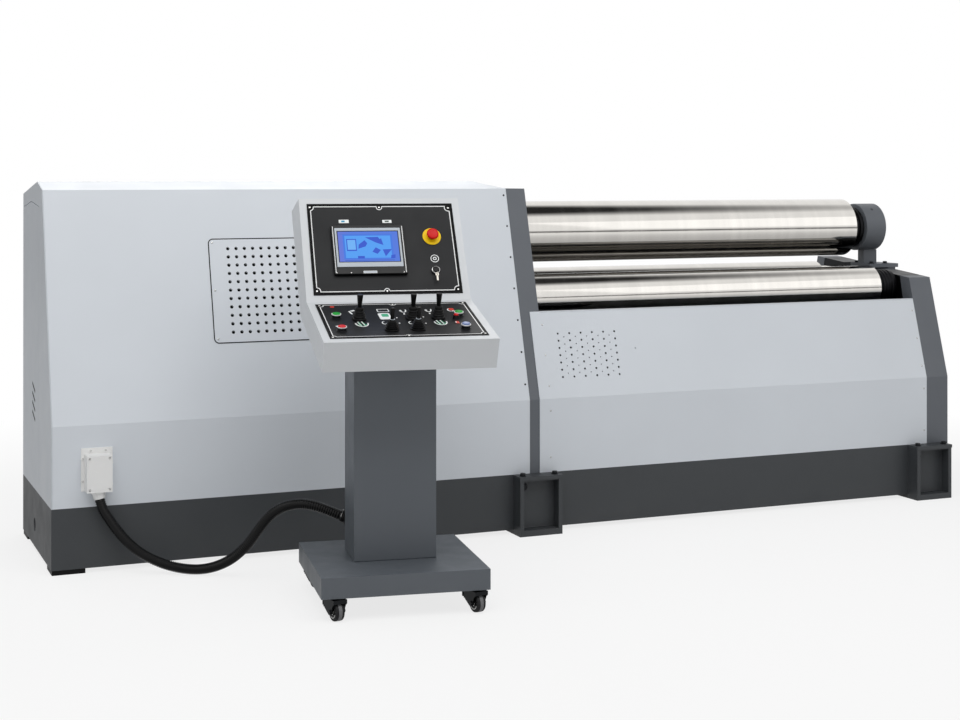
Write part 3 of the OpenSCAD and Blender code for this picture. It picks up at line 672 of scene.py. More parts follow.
def touch_screen_front():
    """Case of the touch screen with its silver fascia, the glass in it, and silver strips beside it
    as painted highlights on the case's edges.
    """
    width, height = GLASS_SIZE
    opening = rounded_loop(width, height, 1.0, 3) + GLASS_MIDDLE
    rim = rounded_loop(width + 12, height + 25, 2.0, 3) + GLASS_MIDDLE - [0, 3.0]
    broken_edge = opening + (rim - opening) * 0.12
    fascia = framed(DISPLAY, [
        (opening, CASE_FRONT), (opening, FASCIA_FRONT - 0.3), (broken_edge, FASCIA_FRONT),
        (rim, FASCIA_FRONT), (rim, CASE_FRONT)])
    u, t = GLASS_CORNER
    glass = pad(DISPLAY, u, t, u + width, t + height, 1, 13.6, 14.5, 0.2)
    for name, shape, look in (
            ("screen_case", pad(DISPLAY, -167, 88, 65, 261, 3, 0, CASE_FRONT, 1.2), "screen"),
            ("screen_fascia", fascia, "silver_fascia"), ("screen_glass", glass, "screen_image")):
        piece(name, shape, look, stands_for="touch_screen")
    badge = (-76, 90.5, -34, 97.5)
    # painted highlights: silver strips down the case's left and right edges; the badge's outline
    # beside them is print
    edge = [strip(SCREEN_CASE, [(u, 92), (u, 257)], 2.2) for u in (-162.5, 59.5)]
    edge.append(strip(SCREEN_CASE, box_line(*badge, 0.8), 1.2, closed=True))
    piece("screen_case_highlights_and_badge_line", join(edge), "silver_print")
    piece("screen_case_plate", pad(SCREEN_CASE, *badge, 0.8, 0, 0.2), "silver_fascia")
    screws("screen_case_studs", [SCREEN_CASE.at(u, 92.5) for u in (-115, 52, -161)], 2.2, n=10)
    # two black blocks along the case's top edge, under the labels
    black_blocks = [pad(DISPLAY, u, 261, u + 34, 268, 1, 0, 9, 1) for u in (-139, 4)]
    piece("screen_case_black_blocks", join(black_blocks), "black_plastic")


# colours on the screen, and its shapes as shares of the glass from its lower left corner
SCREEN_BLUR = 0.004
FIELD_BLUE, EDGE_VIOLET, FRAME_BLUE = srgb(70, 116, 224), srgb(96, 112, 214), srgb(50, 116, 228)
PALE_BLUE, DEEP_BLUE, PANE_BLUE = srgb(70, 158, 248), srgb(24, 78, 206), srgb(104, 178, 250)
LOWER_LINE, UPPER_LINE, SCREEN_RIM = srgb(36, 84, 190), srgb(60, 110, 214), srgb(6, 8, 16)
SCREEN_WINDOWS = (
    ((0.09, 0.10, 0.89, 0.88), FRAME_BLUE), ((0.12, 0.14, 0.86, 0.84), PALE_BLUE),
    ((0.145, 0.36, 0.305, 0.74), DEEP_BLUE), ((0.160, 0.40, 0.290, 0.71), PANE_BLUE))
SCREEN_SHAPES = (
    ((0.33, 0.43), (0.45, 0.50), (0.48, 0.60), (0.44, 0.70), (0.34, 0.56)),
    ((0.45, 0.79), (0.62, 0.62), (0.70, 0.70), (0.66, 0.80)),
    ((0.62, 0.62), (0.74, 0.54), (0.71, 0.76)),
    ((0.55, 0.33), (0.63, 0.26), (0.69, 0.38), (0.61, 0.47)),
    ((0.72, 0.40), (0.76, 0.18), (0.87, 0.41)),
    ((0.84, 0.12), (0.91, 0.12), (0.92, 0.24), (0.85, 0.22)),
    ((0.31, 0.12), (0.42, 0.12), (0.42, 0.20), (0.31, 0.20)))


def screen_image():
    """Glowing screen: a bright field, a paler window in it and plain darker shapes."""
    mat, tree, shader = new_material("screen_image")
    from_corner = node(tree, "ShaderNodeVectorMath", [
        (0, position(tree)), (1, tuple(metres(DISPLAY.at(*GLASS_CORNER).o)))], operation="SUBTRACT")

    def across(axis, size):
        """Share 0 to 1 of the way across the glass along one of the face's directions."""
        dot = node(tree, "ShaderNodeVectorMath", [(0, from_corner.outputs[0]), (1, tuple(axis))],
                   operation="DOT_PRODUCT")
        return maths(tree, "DIVIDE", dot.outputs["Value"], size / MM_PER_METRE)

    u, t = across(DISPLAY.x, GLASS_SIZE[0]), across(DISPLAY.y, GLASS_SIZE[1])

    def beyond(a, b, c):
        """1 where a u + b t > c."""
        both = maths(tree, "MULTIPLY_ADD", t, b, maths(tree, "MULTIPLY_ADD", u, a, -c))
        return mapped(tree, both, -SCREEN_BLUR, SCREEN_BLUR, 0.0, 1.0)

    def polygon(*points):
        """1 inside a convex polygon given counter-clockwise, where every side is passed."""
        share = None
        for (x0, y0), (x1, y1) in zip(points, points[1:] + points[:1]):
            a, b = unit([y0 - y1, x1 - x0])
            side = beyond(float(a), float(b), float(a * x0 + b * y0))
            share = side if share is None else maths(tree, "MULTIPLY", share, side)
        return share

    def window(u0, t0, u1, t1):
        """1 inside an upright rectangle."""
        return polygon((u0, t0), (u1, t0), (u1, t1), (u0, t1))

    colour = mixed(tree, mapped(tree, u, 0.0, 0.22, 1.0, 0.0), FIELD_BLUE, EDGE_VIOLET)
    for corners, blue in SCREEN_WINDOWS:
        colour = mixed(tree, window(*corners), colour, blue)
    for shape in SCREEN_SHAPES:
        colour = mixed(tree, polygon(*shape), colour, DEEP_BLUE)
    colour = mixed(tree, window(0.10, 0.055, 0.90, 0.075), colour, LOWER_LINE)
    colour = mixed(tree, window(0.05, 0.885, 0.95, 0.90), colour, UPPER_LINE)
    rim = maths(tree, "SUBTRACT", 1.0, window(0.016, 0.026, 0.984, 0.974))
    tree.links.new(mixed(tree, rim, colour, SCREEN_RIM), shader.inputs["Emission Color"])
    for label, value in (("Base Color", (0.01, 0.012, 0.02, 1)), ("Emission Strength", 0.9),
                         ("Specular IOR Level", 0.2), ("Roughness", 0.16)):
        shader.inputs[label].default_value = value
    return mat


def stop_knob_and_ring():
    """Yellow ring and red mushroom head of the stop knob."""
    place = DISPLAY.at(157, 225)
    piece("stop_ring", turned([
        (12, 0), (29.4, 0), (30, 0.7), (29.9, 1.8), (28.6, 2.8), (20, 3.0), (12.4, 3.0), (12, 2.6),
        (12, 0)], place, 56), "yellow_plastic", stands_for="estop_ring")
    piece("stop_mushroom", turned([
        (0, 6), (9.9, 6), (9.9, 11), (14.6, 11.1), (16.2, 12.2), (18.4, 16), (19.4, 18.8),
        (19.3, 20.4), (18.2, 22.2), (15.9, 23.9), (13.4, 24.7), (11.2, 24.9), (9.8, 24.4),
        (6, 23.9), (0, 23.7)], place, 48), "red_plastic", "estop_knob", stands_for="estop_knob")


def key_switch_and_key():
    """Lock with a chrome rim, and a flat key in it with its spare hanging from the ring."""
    place = DISPLAY.at(156, 102)
    piece("key_switch_rim", turned([
        (11, 0), (14, 0), (14, 5), (13.5, 8.6), (12.6, 10.2), (11.6, 10.6), (11, 10.2), (11, 0)],
        place, 36), "bright_metal", stands_for="key_switch")
    piece("key_switch_lock", turned([
        (0, 0), (11, 0), (11, 10.0), (10.6, 10.8), (8.7, 10.8), (8.1, 10.2), (8.1, 3), (0, 3)],
        place, 36), "black_plastic", stands_for="key_switch")
    side_on = Place(place.o, place.y, place.x)

    def flat_bar(width, length, r, half, middle):
        """A rounded bar, 2 half thick, with its edges broken by 0.4."""
        edge = [(0.4, -half), (0, 0.4 - half), (0, half - 0.4), (0.4, half)]
        return slab(width, length, r, edge, middle, 5)

    blade = flat_bar(8, 7.6, 0.8, 1.2, side_on.at(0, -14.2))
    bow = flat_bar(26, 12, 5, 1.2, side_on.at(-7, -22))
    spare = [flat_bar(w, y1 - y0, r, 1, place.at(0, (y0 + y1) / 2, 17.5))
             for w, y0, y1, r in ((11, -27, -14, 4.5), (6, -43, -24, 2))]
    a, b = angles(28), angles(8)
    loop = place.at(0, -17, 20).put(np.stack([0 * a, 5.2 * np.cos(a), 5.2 * np.sin(a)], -1))
    wire = swept(0.6 * np.stack([np.cos(b), np.sin(b)], -1), loop, up=place.x, closed=True)
    piece("key_with_spare", join([blade, bow, *spare, wire]), "key_steel", "key", stands_for="key")
    barrel = [(0, 3.5), (7.9, 3.5), (7.9, 9.9), (7.3, 10.5), (0, 10.5)]
    piece("key_barrel", turned(barrel, place, 28), "black_plastic", "key", stands_for="key")


def display_prints():
    """Ring sign over the lock and two pale labels over the screen."""
    rings = [strip(DISPLAY, arc(158.5, 146, r, r, 0, 360, 41)[:-1], w, closed=True)
             for r, w in ((12.4, 2.2), (4.8, 2.6))]
    labels = [pad(DISPLAY, -138, 276.5, -106, 288.5), pad(DISPLAY, 2, 276, 32, 287)]
    piece("display_white_marks", join(rings + labels), "white_print")
    on_left = pad(DISPLAY, -130, 279.5, -119, 285.5, 1, PRINTED_OVER, 0.5)
    on_right = pad(DISPLAY, 10, 279, 23, 284.5, 1, PRINTED_OVER, 0.5)
    piece("display_label_mark_left", on_left, "cyan_print")
    piece("display_label_mark_right", on_right, "grey_print")


# ---------------------------------------------------------------- desk face
BUTTONS = {  # node: middle on the desk, colour, how far the cap stands up beyond the usual
    "start_button": (-192, 214, "green_plastic", 0.0),
    "stop_button": (-193, 97, "red_plastic", 0.0),
    "pump_start_button": (183, 212, "green_plastic", 0.0),
    "reset_button": (179, 95, "blue_plastic", 2.0)}
SMALL_BUTTON = (169, 186)
LEVERS = {  # node: middle on the desk, whether it is a tall one
    "lever_1": (-126, 193, True), "lever_2": (36, 190, True), "lever_3": (115, 193, True),
    "lever_4": (-45, 94, False), "lever_5": (34, 95.5, False)}
TALL_GRIP = [(0, 8), (3.9, 8), (3.9, 37.6), (5.9, 38), (6.2, 42), (7.3, 56), (8.5, 69), (9.4, 76),
             (9.3, 77.4), (8.4, 78), (0, 78)]
SHORT_GRIP = [(0, 8), (2.9, 8), (2.9, 32), (5.2, 32.2), (5.5, 33.2), (5.5, 64), (5.3, 66.4),
              (4.4, 67.8), (0, 68)]
TALL_BOOT = [
    (0, 0, 0), (20, 0, 1), (20.4, 1.2, 1), (20.4, 5, 1), (19.6, 6.4, 1), (18.4, 7, 0.5),
    (17.6, 8.6, 0), (19, 10, 0), (18.6, 12.6, 0), (17.2, 14, 0), (16.8, 16, 0), (18, 17.4, 0),
    (17.3, 20, 0), (14.8, 21.6, 0), (14.6, 23.4, 0), (15.6, 24.8, 0), (14.8, 27.4, 0),
    (12.6, 29, 0), (12.6, 34, 0), (12, 37, 0), (10, 39.4, 0), (6, 40, 0), (4.2, 39.6, 0),
    (0, 39.6, 0)]
SHORT_BOOT = [
    (0, 0, 0), (21.4, 0, 0.4), (22, 0.8, 0.4), (22, 3.4, 0.4), (20.8, 4.4, 0.2), (18.4, 5.2, 0),
    (18.4, 6.6, 0), (20.4, 8, 0), (20.4, 9.6, 0), (16.8, 11.2, 0), (16.6, 12.6, 0), (18.4, 14, 0),
    (18.3, 15.6, 0), (14.6, 17.2, 0), (14.4, 18.6, 0), (16, 20, 0), (15.8, 21.6, 0),
    (12.2, 23.2, 0), (12, 24.6, 0), (13.4, 26, 0), (13, 27.6, 0), (10, 29.4, 0), (9.4, 31.6, 0),
    (7.6, 32.4, 0), (0, 32.4, 0)]
BOOT_FOOT, TALL_BOOT_TOP, SHORT_BOOT_TOP = 5, 38, 31
FOOT_CORNERS = 0.16


def push_buttons():
    """Push buttons: a coloured cap in a chrome bezel, drawn as a bright ring of painted highlight
    on a darker neck of painted shade, and one small one.
    """
    rings, necks = [], []
    for name, (u, t, look, lift) in BUTTONS.items():
        place = DESK.at(u, t)
        rings.append(turned([
            (12.2, 9.0), (12.2, 12.0), (12.8, 12.9), (13.9, 13.1), (14.8, 12.6), (15.0, 11.6),
            (14.6, 10.2), (13.2, 9.0), (12.2, 9.0)], place, 40))
        necks.append(turned([
            (12.2, 0), (12.2, 9.0), (13.2, 9.0), (13.0, 4), (13.4, 2.2), (15.4, 1.8), (16, 1.2),
            (16, 0), (12.2, 0)], place, 40))
        piece(name + "_cap", turned([
            (0, 4), (11.9, 4), (11.9, 13.4 + lift), (11.3, 14.5 + lift), (9.6, 14.9 + lift),
            (5, 15 + lift), (0, 15 + lift)], place, 36), look, name, stands_for=name)
    small = DESK.at(*SMALL_BUTTON)
    necks.append(turned([
        (7.4, 0), (7.4, 10.6), (8.2, 11.4), (9.4, 11.2), (10.0, 10.0), (9.6, 4), (10.6, 1), (11, 0),
        (7.4, 0)], small, 32))
    cap = [(0, 4), (7, 4), (7, 13.6), (6.4, 14.7), (4, 15), (0, 15)]
    piece("pump_stop_cap", turned(cap, small, 28), "red_plastic", "pump_stop_button",
          stands_for="pump_stop_button")
    # painted highlight and shade: the chrome bezel's top ring is pale for its bright reflection,
    # its neck dark steel for its dark side
    piece("button_bezel_highlight_rings", join(rings), "silver_print", stands_for="button_bezels")
    piece("button_bezel_shaded_necks", join(necks), "black_steel", stands_for="button_bezels")


def levers():
    """Grips on their stems, and rubber boots round them."""
    for name, (u, t, tall) in LEVERS.items():
        place = DESK.at(u, t)
        piece(name + "_grip", turned(TALL_GRIP if tall else SHORT_GRIP, place, 28), "black_plastic",
              name, stands_for=name)
        folds, top = (TALL_BOOT, TALL_BOOT_TOP) if tall else (SHORT_BOOT, SHORT_BOOT_TOP)
        boot = piece(name + "_boot", squared(folds, place, FOOT_CORNERS, 48), "rubber", None)
        tuple(metres(place.at(z=BOOT_FOOT).o))
        tuple(metres(place.at(z=top).o))
        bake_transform(boot)
        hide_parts("lever_boots")
        if not tall:
            piece(name + "_washer", turned([
                (5.6, 32.2), (7.6, 32.2), (8, 32.8), (7.6, 33.4), (5.6, 33.4), (5.6, 32.2)],
                place, 28), "silver_fascia", name, stands_for=name)


def desk_prints():
    """Plain signs printed beside the levers and buttons."""
    over = DESK.at(z=PRINTED_OVER)
    white, green = [], []
    for u in (-124, 115):
        white.append(strip(DESK, arc(u, 156, 18.5, 28, 172, 368, 26), 4.0))
        green.append(strip(over, arc(u, 156, 14.8, 23.5, 200, 340, 20), 2.2))
        for side in (-7, 5):
            white.append(strip(DESK, [(u + side + 3, 137), (u + side - 3, 172)], 5.0))
            green.append(strip(over, [(u + side + 4.6, 138), (u + side - 0.8, 168)], 2.2))
    white += [strip(DESK, [(-144.5, 273), (-138.6, 245)], 5.5),
              strip(DESK, [(-138, 273), (-127, 281)], 9.0),
              strip(DESK, box_line(-57, 262, -23, 287, 3), 3.0, closed=True),
              pad(DESK, -61.5, 190, -25.5, 248, 6)]
    green.append(pad(over, -52, 214, -31, 240, 4))
    for u in (29, 108):
        white += [strip(DESK, arc(u - 8, 274, 9, 20, 175, 372, 16), 4.0),
                  pad(DESK, u - 12, 232, u - 7, 243, 2.4), pad(DESK, u - 19, 262, u - 12, 276, 3)]
    for u, t in ((-55, 158), (25, 154)):
        white.append(strip(DESK, arc(u, t, 7, 12, 80, 320, 14), 3.2))
    for u, t in ((-9.7, 203), (-11, 152), (60, 190), (72, 205), (68, 146), (-203, 136), (49, 196)):
        white.append(pad(DESK, u - 2.2, t - 3.4, u + 2.2, t + 3.4, 2))
    white += [strip(DESK, arc(170, 268, 8.5, 13, 90, 330, 25), 3.4),
              pad(over, 159, 146, 164, 155, 2)]
    red = [pad(DESK.at(z=0.15), 166, 262, 181, 283, 3), pad(DESK, -195, 311, -183, 324, 2),
           pad(DESK, 160, 139, 171, 160, 2)]
    for colour, marks in (("white", white), ("green", green), ("red", red)):
        piece("desk_%s_marks" % colour, join(marks), colour + "_print")


# ---------------------------------------------------------------- castors
HALF_WHEEL = 14.0


def castor_wheels():
    """Each wheel: a tyre with rounded shoulders, a paler tread band, and a hub disc with bosses."""
    half = HALF_WHEEL
    tyre = [(19.5, -half), (24, -half), (26.4, -half + 0.8), (27.8, -half + 2.6), (28.3, -half + 5),
            (28.3, half - 5), (27.8, half - 2.6), (26.4, half - 0.8), (24, half), (19.5, half),
            (19.5, -half)]
    band = [(27.9, -5.6), (28.5, -5.4), (28.5, 5.4), (27.9, 5.6), (27.9, -5.6)]
    disc = [(4, -half + 0.6), (19.4, -half + 0.4), (19.4, half - 0.4), (4, half - 0.6),
            (4, -half + 0.6)]
    rim = [(16.6, half - 0.8), (19.4, half - 0.8), (19.2, half + 0.2), (17.2, half + 0.2),
           (16.6, half - 0.8)]
    boss = [(0, half - 1), (9, half - 1), (8.8, half + 1.2), (7.8, half + 1.9), (4.2, half + 2),
            (4, half + 4.8), (0, half + 4.8)]
    both_sides = [np.array(part) * [1, side] for part in (rim, boss) for side in (-1, 1)]
    for corner in ("fl", "fr", "rl", "rr"):
        low, high = box_of("castor_wheel_" + corner)
        place = Place((low + high) / 2, (0, 0, 1), axis_of("wheel_%s_spin" % corner))
        hub = join([turned(part, place, 36) for part in both_sides])
        for name, shape, look in (("tyre", turned(tyre, place, 64), "tyre"),
                                  ("tread", turned(band, place, 64), "tyre_tread"),
                                  ("disc", turned(disc, place, 48), "black_plastic"),
                                  ("hub", hub, "bright_metal")):
            piece("castor_%s_%s" % (name, corner), shape, look, "wheel_" + corner,
                  stands_for="castor_wheel_" + corner)


# ---------------------------------------------------------------- hose fittings
MOUTH_DEPTH = 20


def hose_mouth(place):
    """A ribbed mouthpiece that the hose enters at its origin."""
    return turned([
        (0, -MOUTH_DEPTH), (19.8, -MOUTH_DEPTH), (20, -13), (19.4, -12), (20, -11), (19.9, -7),
        (19.2, -6), (19.7, -5), (19.2, -1.6), (18.2, -0.3), (16.9, 0), (0, 0)], place, 40)


def hexagon_nut(place, low, high):
    """A nut with its upper edge broken, between two heights."""
    return turned([(0, low), (23.2, low), (24, low + 0.8), (24, high - 1.4), (22.4, high),
                   (0, high)], place, 6)


def hose_fittings():
    """Nut and ribbed mouthpiece at each end of the hose, and the boss behind the lower one."""
    start, end = HOSE_ROUTE[0], HOSE_ROUTE[-1]
    lean, reach = unit(HOSE_ROUTE[1] - start), unit(HOSE_ROUTE[-2] - end)
    upper = Place(start - 0.1 * lean, (0, 1, 0), lean)
    base = upper.at(z=-MOUTH_DEPTH).o
    under_box = box_of("junction_box")[0][2] + 3
    under = Place((base[0], base[1], under_box), (1, 0, 0), (0, 0, -1))
    piece("box_gland", join([hose_mouth(upper), hexagon_nut(under, 0, 9)]), "box_plastic",
          stands_for="hose_glands")
    lower = Place(end - 0.1 * reach, (0, 0, 1), reach)
    back = np.cross((0, 0, 1), axis_of("lever_1_tilt"))
    out_of_pillar = Place(lower.at(z=-39).o, (0, 0, 1), back)
    boss = turned([(0, -30), (20, -30), (20, 18.6), (18.6, 20), (0, 20)], out_of_pillar, 40)
    piece("pillar_gland", join([hose_mouth(lower), hexagon_nut(lower, -24, -15), boss]),
          "black_plastic", stands_for="hose_glands")
    piece("pillar_gland_ring", turned([
        (17, -1.2), (20.0, -1.2), (20.0, -0.2), (17.4, 0), (17, 0), (17, -1.2)], lower, 40),
        "bright_metal", stands_for="hose_glands")


LOOKS["screen_image"] = (screen_image(), "blue_plastic")
plate_trim("display", DISPLAY, (-236, 236, 23, 347),
           [(-225, 37), (222, 36), (222, 330), (-227, 334)], [(-5, 34), (-4, 333)])
plate_trim("desk", DESK, (-237, 235, 30, 346),
           [(-228, 39), (226, 43), (223, 334), (-226, 330)], [(-4, 38), (0.6, 332)])
for dress in (touch_screen_front, stop_knob_and_ring, key_switch_and_key, display_prints,
              push_buttons, levers, desk_prints, castor_wheels, hose_fittings):
    dress()

# ---------------------------------------------------------------- machine details
CREASE = 484.0  # height of the fold above which the front sheets lean back
FRONT_LEAN = math.atan2(221.6, 771.0)
COVER_ENDS = (44, 1718)  # X of the covers' end screws
FRAMES_AT = (-22, 1722)  # X of the two frames' middles
SCREW_INSIDE = 11
VENT_COLUMNS, VENT_ROWS, VENT_PITCH, VENT_PANEL_THICK = 12, 11, 29.6, 3.0
VENT_FIELD_INSIDE = (34, 26)
LIP_MIDDLE, LIP_HALF = (885, 796.6), 844.0
BOX_MIDDLE_HEIGHT = 331.5
PIVOT = (1860, 320)  # X and Z of the swing arm's pin
FOOT_PLATE_TOP = 926.5


def front_sheet(x, z, h=0.0):
    """A frame on the front sheets at X and Z: upright below the crease, leaning above it."""
    lean = FRONT_LEAN if z > CREASE else 0.0
    y = max(0.0, z - CREASE) * math.tan(lean)
    return Place([x, y, z], (1, 0, 0), (0, -math.cos(lean), math.sin(lean))).at(z=h)


def rear_sheet(x, z):
    """The same on the rear cover, mirrored about the frames' middle."""
    front = front_sheet(x, z)
    depth = box_of("drop_sill")[1][1]
    flip = np.array([1, -1, 1])
    return Place(front.o * flip + [0, depth, 0], (-1, 0, 0), front.z * flip)


def bolt_shapes(place, across, height):
    """A hexagon head with a chamfered crown, and the round washer under it."""
    r = across / math.sqrt(3)
    head = [(0, 0), (r, 0), (r, 0.72 * height), (0.86 * r, height), (0, height)]
    washer = [(0, -0.1), (1.25 * r, -0.1), (1.25 * r, 1.3), (1.18 * r, 1.7), (0, 1.7)]
    return [turned(head, place.at(z=1.6), 6), turned(washer, place, 24)]


def socket_screw(place, r, height):
    """A cap screw: a cylinder with a rounded crown and a sunk socket."""
    share = [(0, 0.35), (0.45, 0.4), (0.52, 1), (0.9, 1), (1, 0.85), (1, -0.05), (0, -0.05)]
    return turned(np.array(share) * [r, height], place, 20)


def sheet_screws():
    """Small screws along the covers' ends, the cabinet's front and the vent panel."""
    spots = [sheet(x, z) for sheet in (front_sheet, rear_sheet) for x in COVER_ENDS
             for z in (270, 440, 530, 640, 750)]
    screws("cover_screws", spots, 3.6)
    edge_x = box_of("cabinet_housing")[1][0] - 12
    edge = [front_sheet(edge_x, z) for z in range(540, 1240, 115)]
    screws("cabinet_edge_screws", edge, 3.6, "black_steel")
    low, high = box_of("vent_panel")
    panel = [front_sheet(x, z, VENT_PANEL_THICK)
             for x in (low[0] + SCREW_INSIDE, high[0] - SCREW_INSIDE)
             for z in (low[2] + SCREW_INSIDE, (low[2] + high[2]) / 2, high[2] - SCREW_INSIDE)]
    screws("vent_panel_screws", panel, 4.0)


def end_panel_slot_shade():
    """Black fill sunk in the four climbing vent slots in the cabinet's end: painted shade, where
    the slots would show the light housing behind them.
    """
    end = box_of("cabinet_end_panel")[0][0]
    climb = math.radians(20)
    slots = [Place((end, 388, z), (0, math.cos(climb), math.sin(climb)), (-1, 0, 0))
             for z in (448, 481, 514, 547)]
    # painted shade: black fill inside the slots
    piece("end_panel_slot_shade", join([pad(p, 0.1, -11.9, 75.9, -0.1, 1, -2.8, -0.4) for p in slots]),
          "black_print")


def painted_hole_shade():
    """Painted shade: black sheets close behind the hole fields, a dark strip round the vent panel
    for its shadow gap, and black rings round its holes that widen their dark.
    """
    low, high = box_of("vent_panel")
    middle = front_sheet((low[0] + high[0]) / 2, (low[2] + high[2]) / 2)
    width, height = high[0] - low[0], (high[2] - low[2]) / math.cos(FRONT_LEAN)
    u, t = width / 2 - VENT_FIELD_INSIDE[0], height / 2 - VENT_FIELD_INSIDE[1]
    # painted shade: black sheets behind the hole fields, where there is only shade
    behind_vent = pad(middle, -u, -t, u, t, 6, -12.5, -11)
    behind_cover = pad(front_sheet(222, 640), -135, -98, 135, 98, 4, -9, -7.5)
    piece("hole_shade_sheets", join([behind_vent, behind_cover]), "black_plate")
    # painted shadow: a dark strip in the rubber finish for the shadow gap round the vent panel
    shadow_gap_outline = rounded_loop(width + 2.6, height + 2.6, 16, 6)
    piece("vent_panel_shadow_gap", strip(middle, shadow_gap_outline, 4.0, closed=True, height=1.2), "rubber")
    across, up = ((np.arange(n) - (n - 1) / 2) * VENT_PITCH for n in (VENT_COLUMNS, VENT_ROWS))
    holes = [middle.at(u, t, VENT_PANEL_THICK) for u in across for t in up]
    # painted shade: black rings round the holes that widen each hole's dark
    rim = [(4.3, -1.0), (4.4, 0.12), (5.5, 0.12), (5.9, 0.0)]
    piece("vent_hole_shade_rings", join([turned(rim, hole, 14) for hole in holes]), "black_print")


def cover_lips():
    """Folded lip along each cover's top edge."""
    for sheet, name in ((front_sheet, "front"), (rear_sheet, "rear")):
        middle = sheet(*LIP_MIDDLE)
        path = middle.put([(-LIP_HALF, 0, 0), (LIP_HALF, 0, 0)])
        fold = [(-0.6, -2.4), (0.6, -2.4), (1.3, -1.2), (1.3, 1.2), (0.6, 1.8), (-0.6, 1.8)]
        piece(name + "_cover_lip", swept(fold, path, up=middle.y), "cabinet_paint")


def junction_box_fittings():
    """Screws in the lid's wells and on the back plate's lugs, and the lid's raised rim."""
    low, high = box_of("junction_box")
    middle = (low[0] + high[0]) / 2
    lid = Place((middle, low[1], BOX_MIDDLE_HEIGHT), (1, 0, 0), (0, -1, 0))
    screws("box_lid_screws", [lid.at(u, t, -3.8) for u in (-32, 32) for t in (-50.5, 50.5)], 3.6)
    back = Place((middle, -4, BOX_MIDDLE_HEIGHT), (1, 0, 0), (0, -1, 0))
    lugs = [back.at(u, t) for u, t in ((-46, 44), (-46, -30), (46, 26), (46, -44), (-20, 69),
                                       (28, 69))]
    screws("box_lug_screws", lugs, 4.4)
    rim = strip(lid, rounded_loop(72, 100, 6, 5), 1.6, closed=True, height=0.7)
    piece("box_lid_rim", rim, "box_plastic")
    boss = [(0, 0), (7, 0), (6.8, 1.2), (5, 1.6), (0, 1.6)]
    piece("box_lug_bosses", join([turned(boss, p, 24) for p in lugs]), "box_plastic")


def bracket_fittings():
    """Bolts in the recess and on top of each floor bracket, and weld beads where its walls meet."""
    bolts, beads = [], []
    depth = box_of("drop_sill")[1][1]
    bead = [(-1.6, -0.4), (1.6, -0.4), (1.2, 1.4), (0, 2.0), (-1.2, 1.4)]
    wall_x, wall_low, wall_high = 68, -86, 87
    seams = [((wall_x, wall_low), (wall_x, wall_high)), ((-wall_x, wall_low), (wall_x, wall_low)),
             ((-wall_x, wall_low), (-wall_x, wall_high))]
    share = np.linspace(0, 1, 24)[:, None]
    for x in FRAMES_AT:
        for side in (1, -1):
            sheet_y, across, out = (0 if side > 0 else depth), (side, 0, 0), (0, -side, 0)
            for u in (-64, 64):
                top = Place((x + u, sheet_y - side * 38, 216), (1, 0, 0), (0, 0, 1))
                bolts += bolt_shapes(top, 19, 9)
            bolts += bolt_shapes(Place((x - 52, sheet_y - side * 16, 172), across, out), 22, 11)
            wall = Place((x, sheet_y - side * 16.2, 110), across, out)
            for a, b in np.array(seams, float):
                path = wall.put(raised(a + (b - a) * share, 0))
                beads.append(swept(bead, path, up=wall.z))
    piece("bracket_bolts", join(bolts), "black_steel")
    piece("bracket_weld_beads", join(beads), "base_paint")


def drop_end_fittings():
    """Cap screws on the collar's end, its set screw, bolts on the foot plate, and pivot caps."""
    low, high = box_of("drop_end_collar")
    centre = (low + high) / 2
    end = Place((high[0], centre[1], centre[2]), (0, 1, 0), (1, 0, 0))
    caps = [socket_screw(end.at(74 * math.cos(a), 74 * math.sin(a)), 7, 6)
            for a in np.radians(np.arange(30, 390, 60))]
    piece("collar_cap_screws", join(caps), "black_steel", "drop_end")
    tilt = math.radians(40)
    out = np.array([0, -math.sin(tilt), math.cos(tilt)])
    top = Place(centre + out * (high[2] - centre[2]), (1, 0, 0), out)
    piece("collar_set_screw", turned([
        (0, -1.4), (2.6, -1.4), (3.2, 0.5), (5.2, 0.5), (5.8, 0.1), (5.9, -0.6), (0, -3)], top, 24),
        "black_steel", "drop_end")
    foot = [bolt_shapes(Place((x, centre[1] + y, FOOT_PLATE_TOP), (1, 0, 0), (0, 0, 1)), 17, 8)
            for x in (1752, 1822) for y in (-52, 52)]
    piece("foot_plate_bolts", join(sum(foot, [])), "black_steel", "drop_end")
    lug_low, lug_high = box_of("arm_pivot_lugs")
    pin = [(0, -1), (17, -1), (17, 3.4), (16, 4.6), (5, 4.8), (4.4, 4), (0, 4)]
    pins = [turned(pin, Place((PIVOT[0], y, PIVOT[1]), (1, 0, 0), (0, way, 0)), 36)
            for y, way in ((lug_low[1], -1), (lug_high[1], 1))]
    piece("pivot_pin_caps", join(pins), "bright_metal")


for dress in (sheet_screws, end_panel_slot_shade, painted_hole_shade, cover_lips, junction_box_fittings,
              bracket_fittings, drop_end_fittings):
    dress()


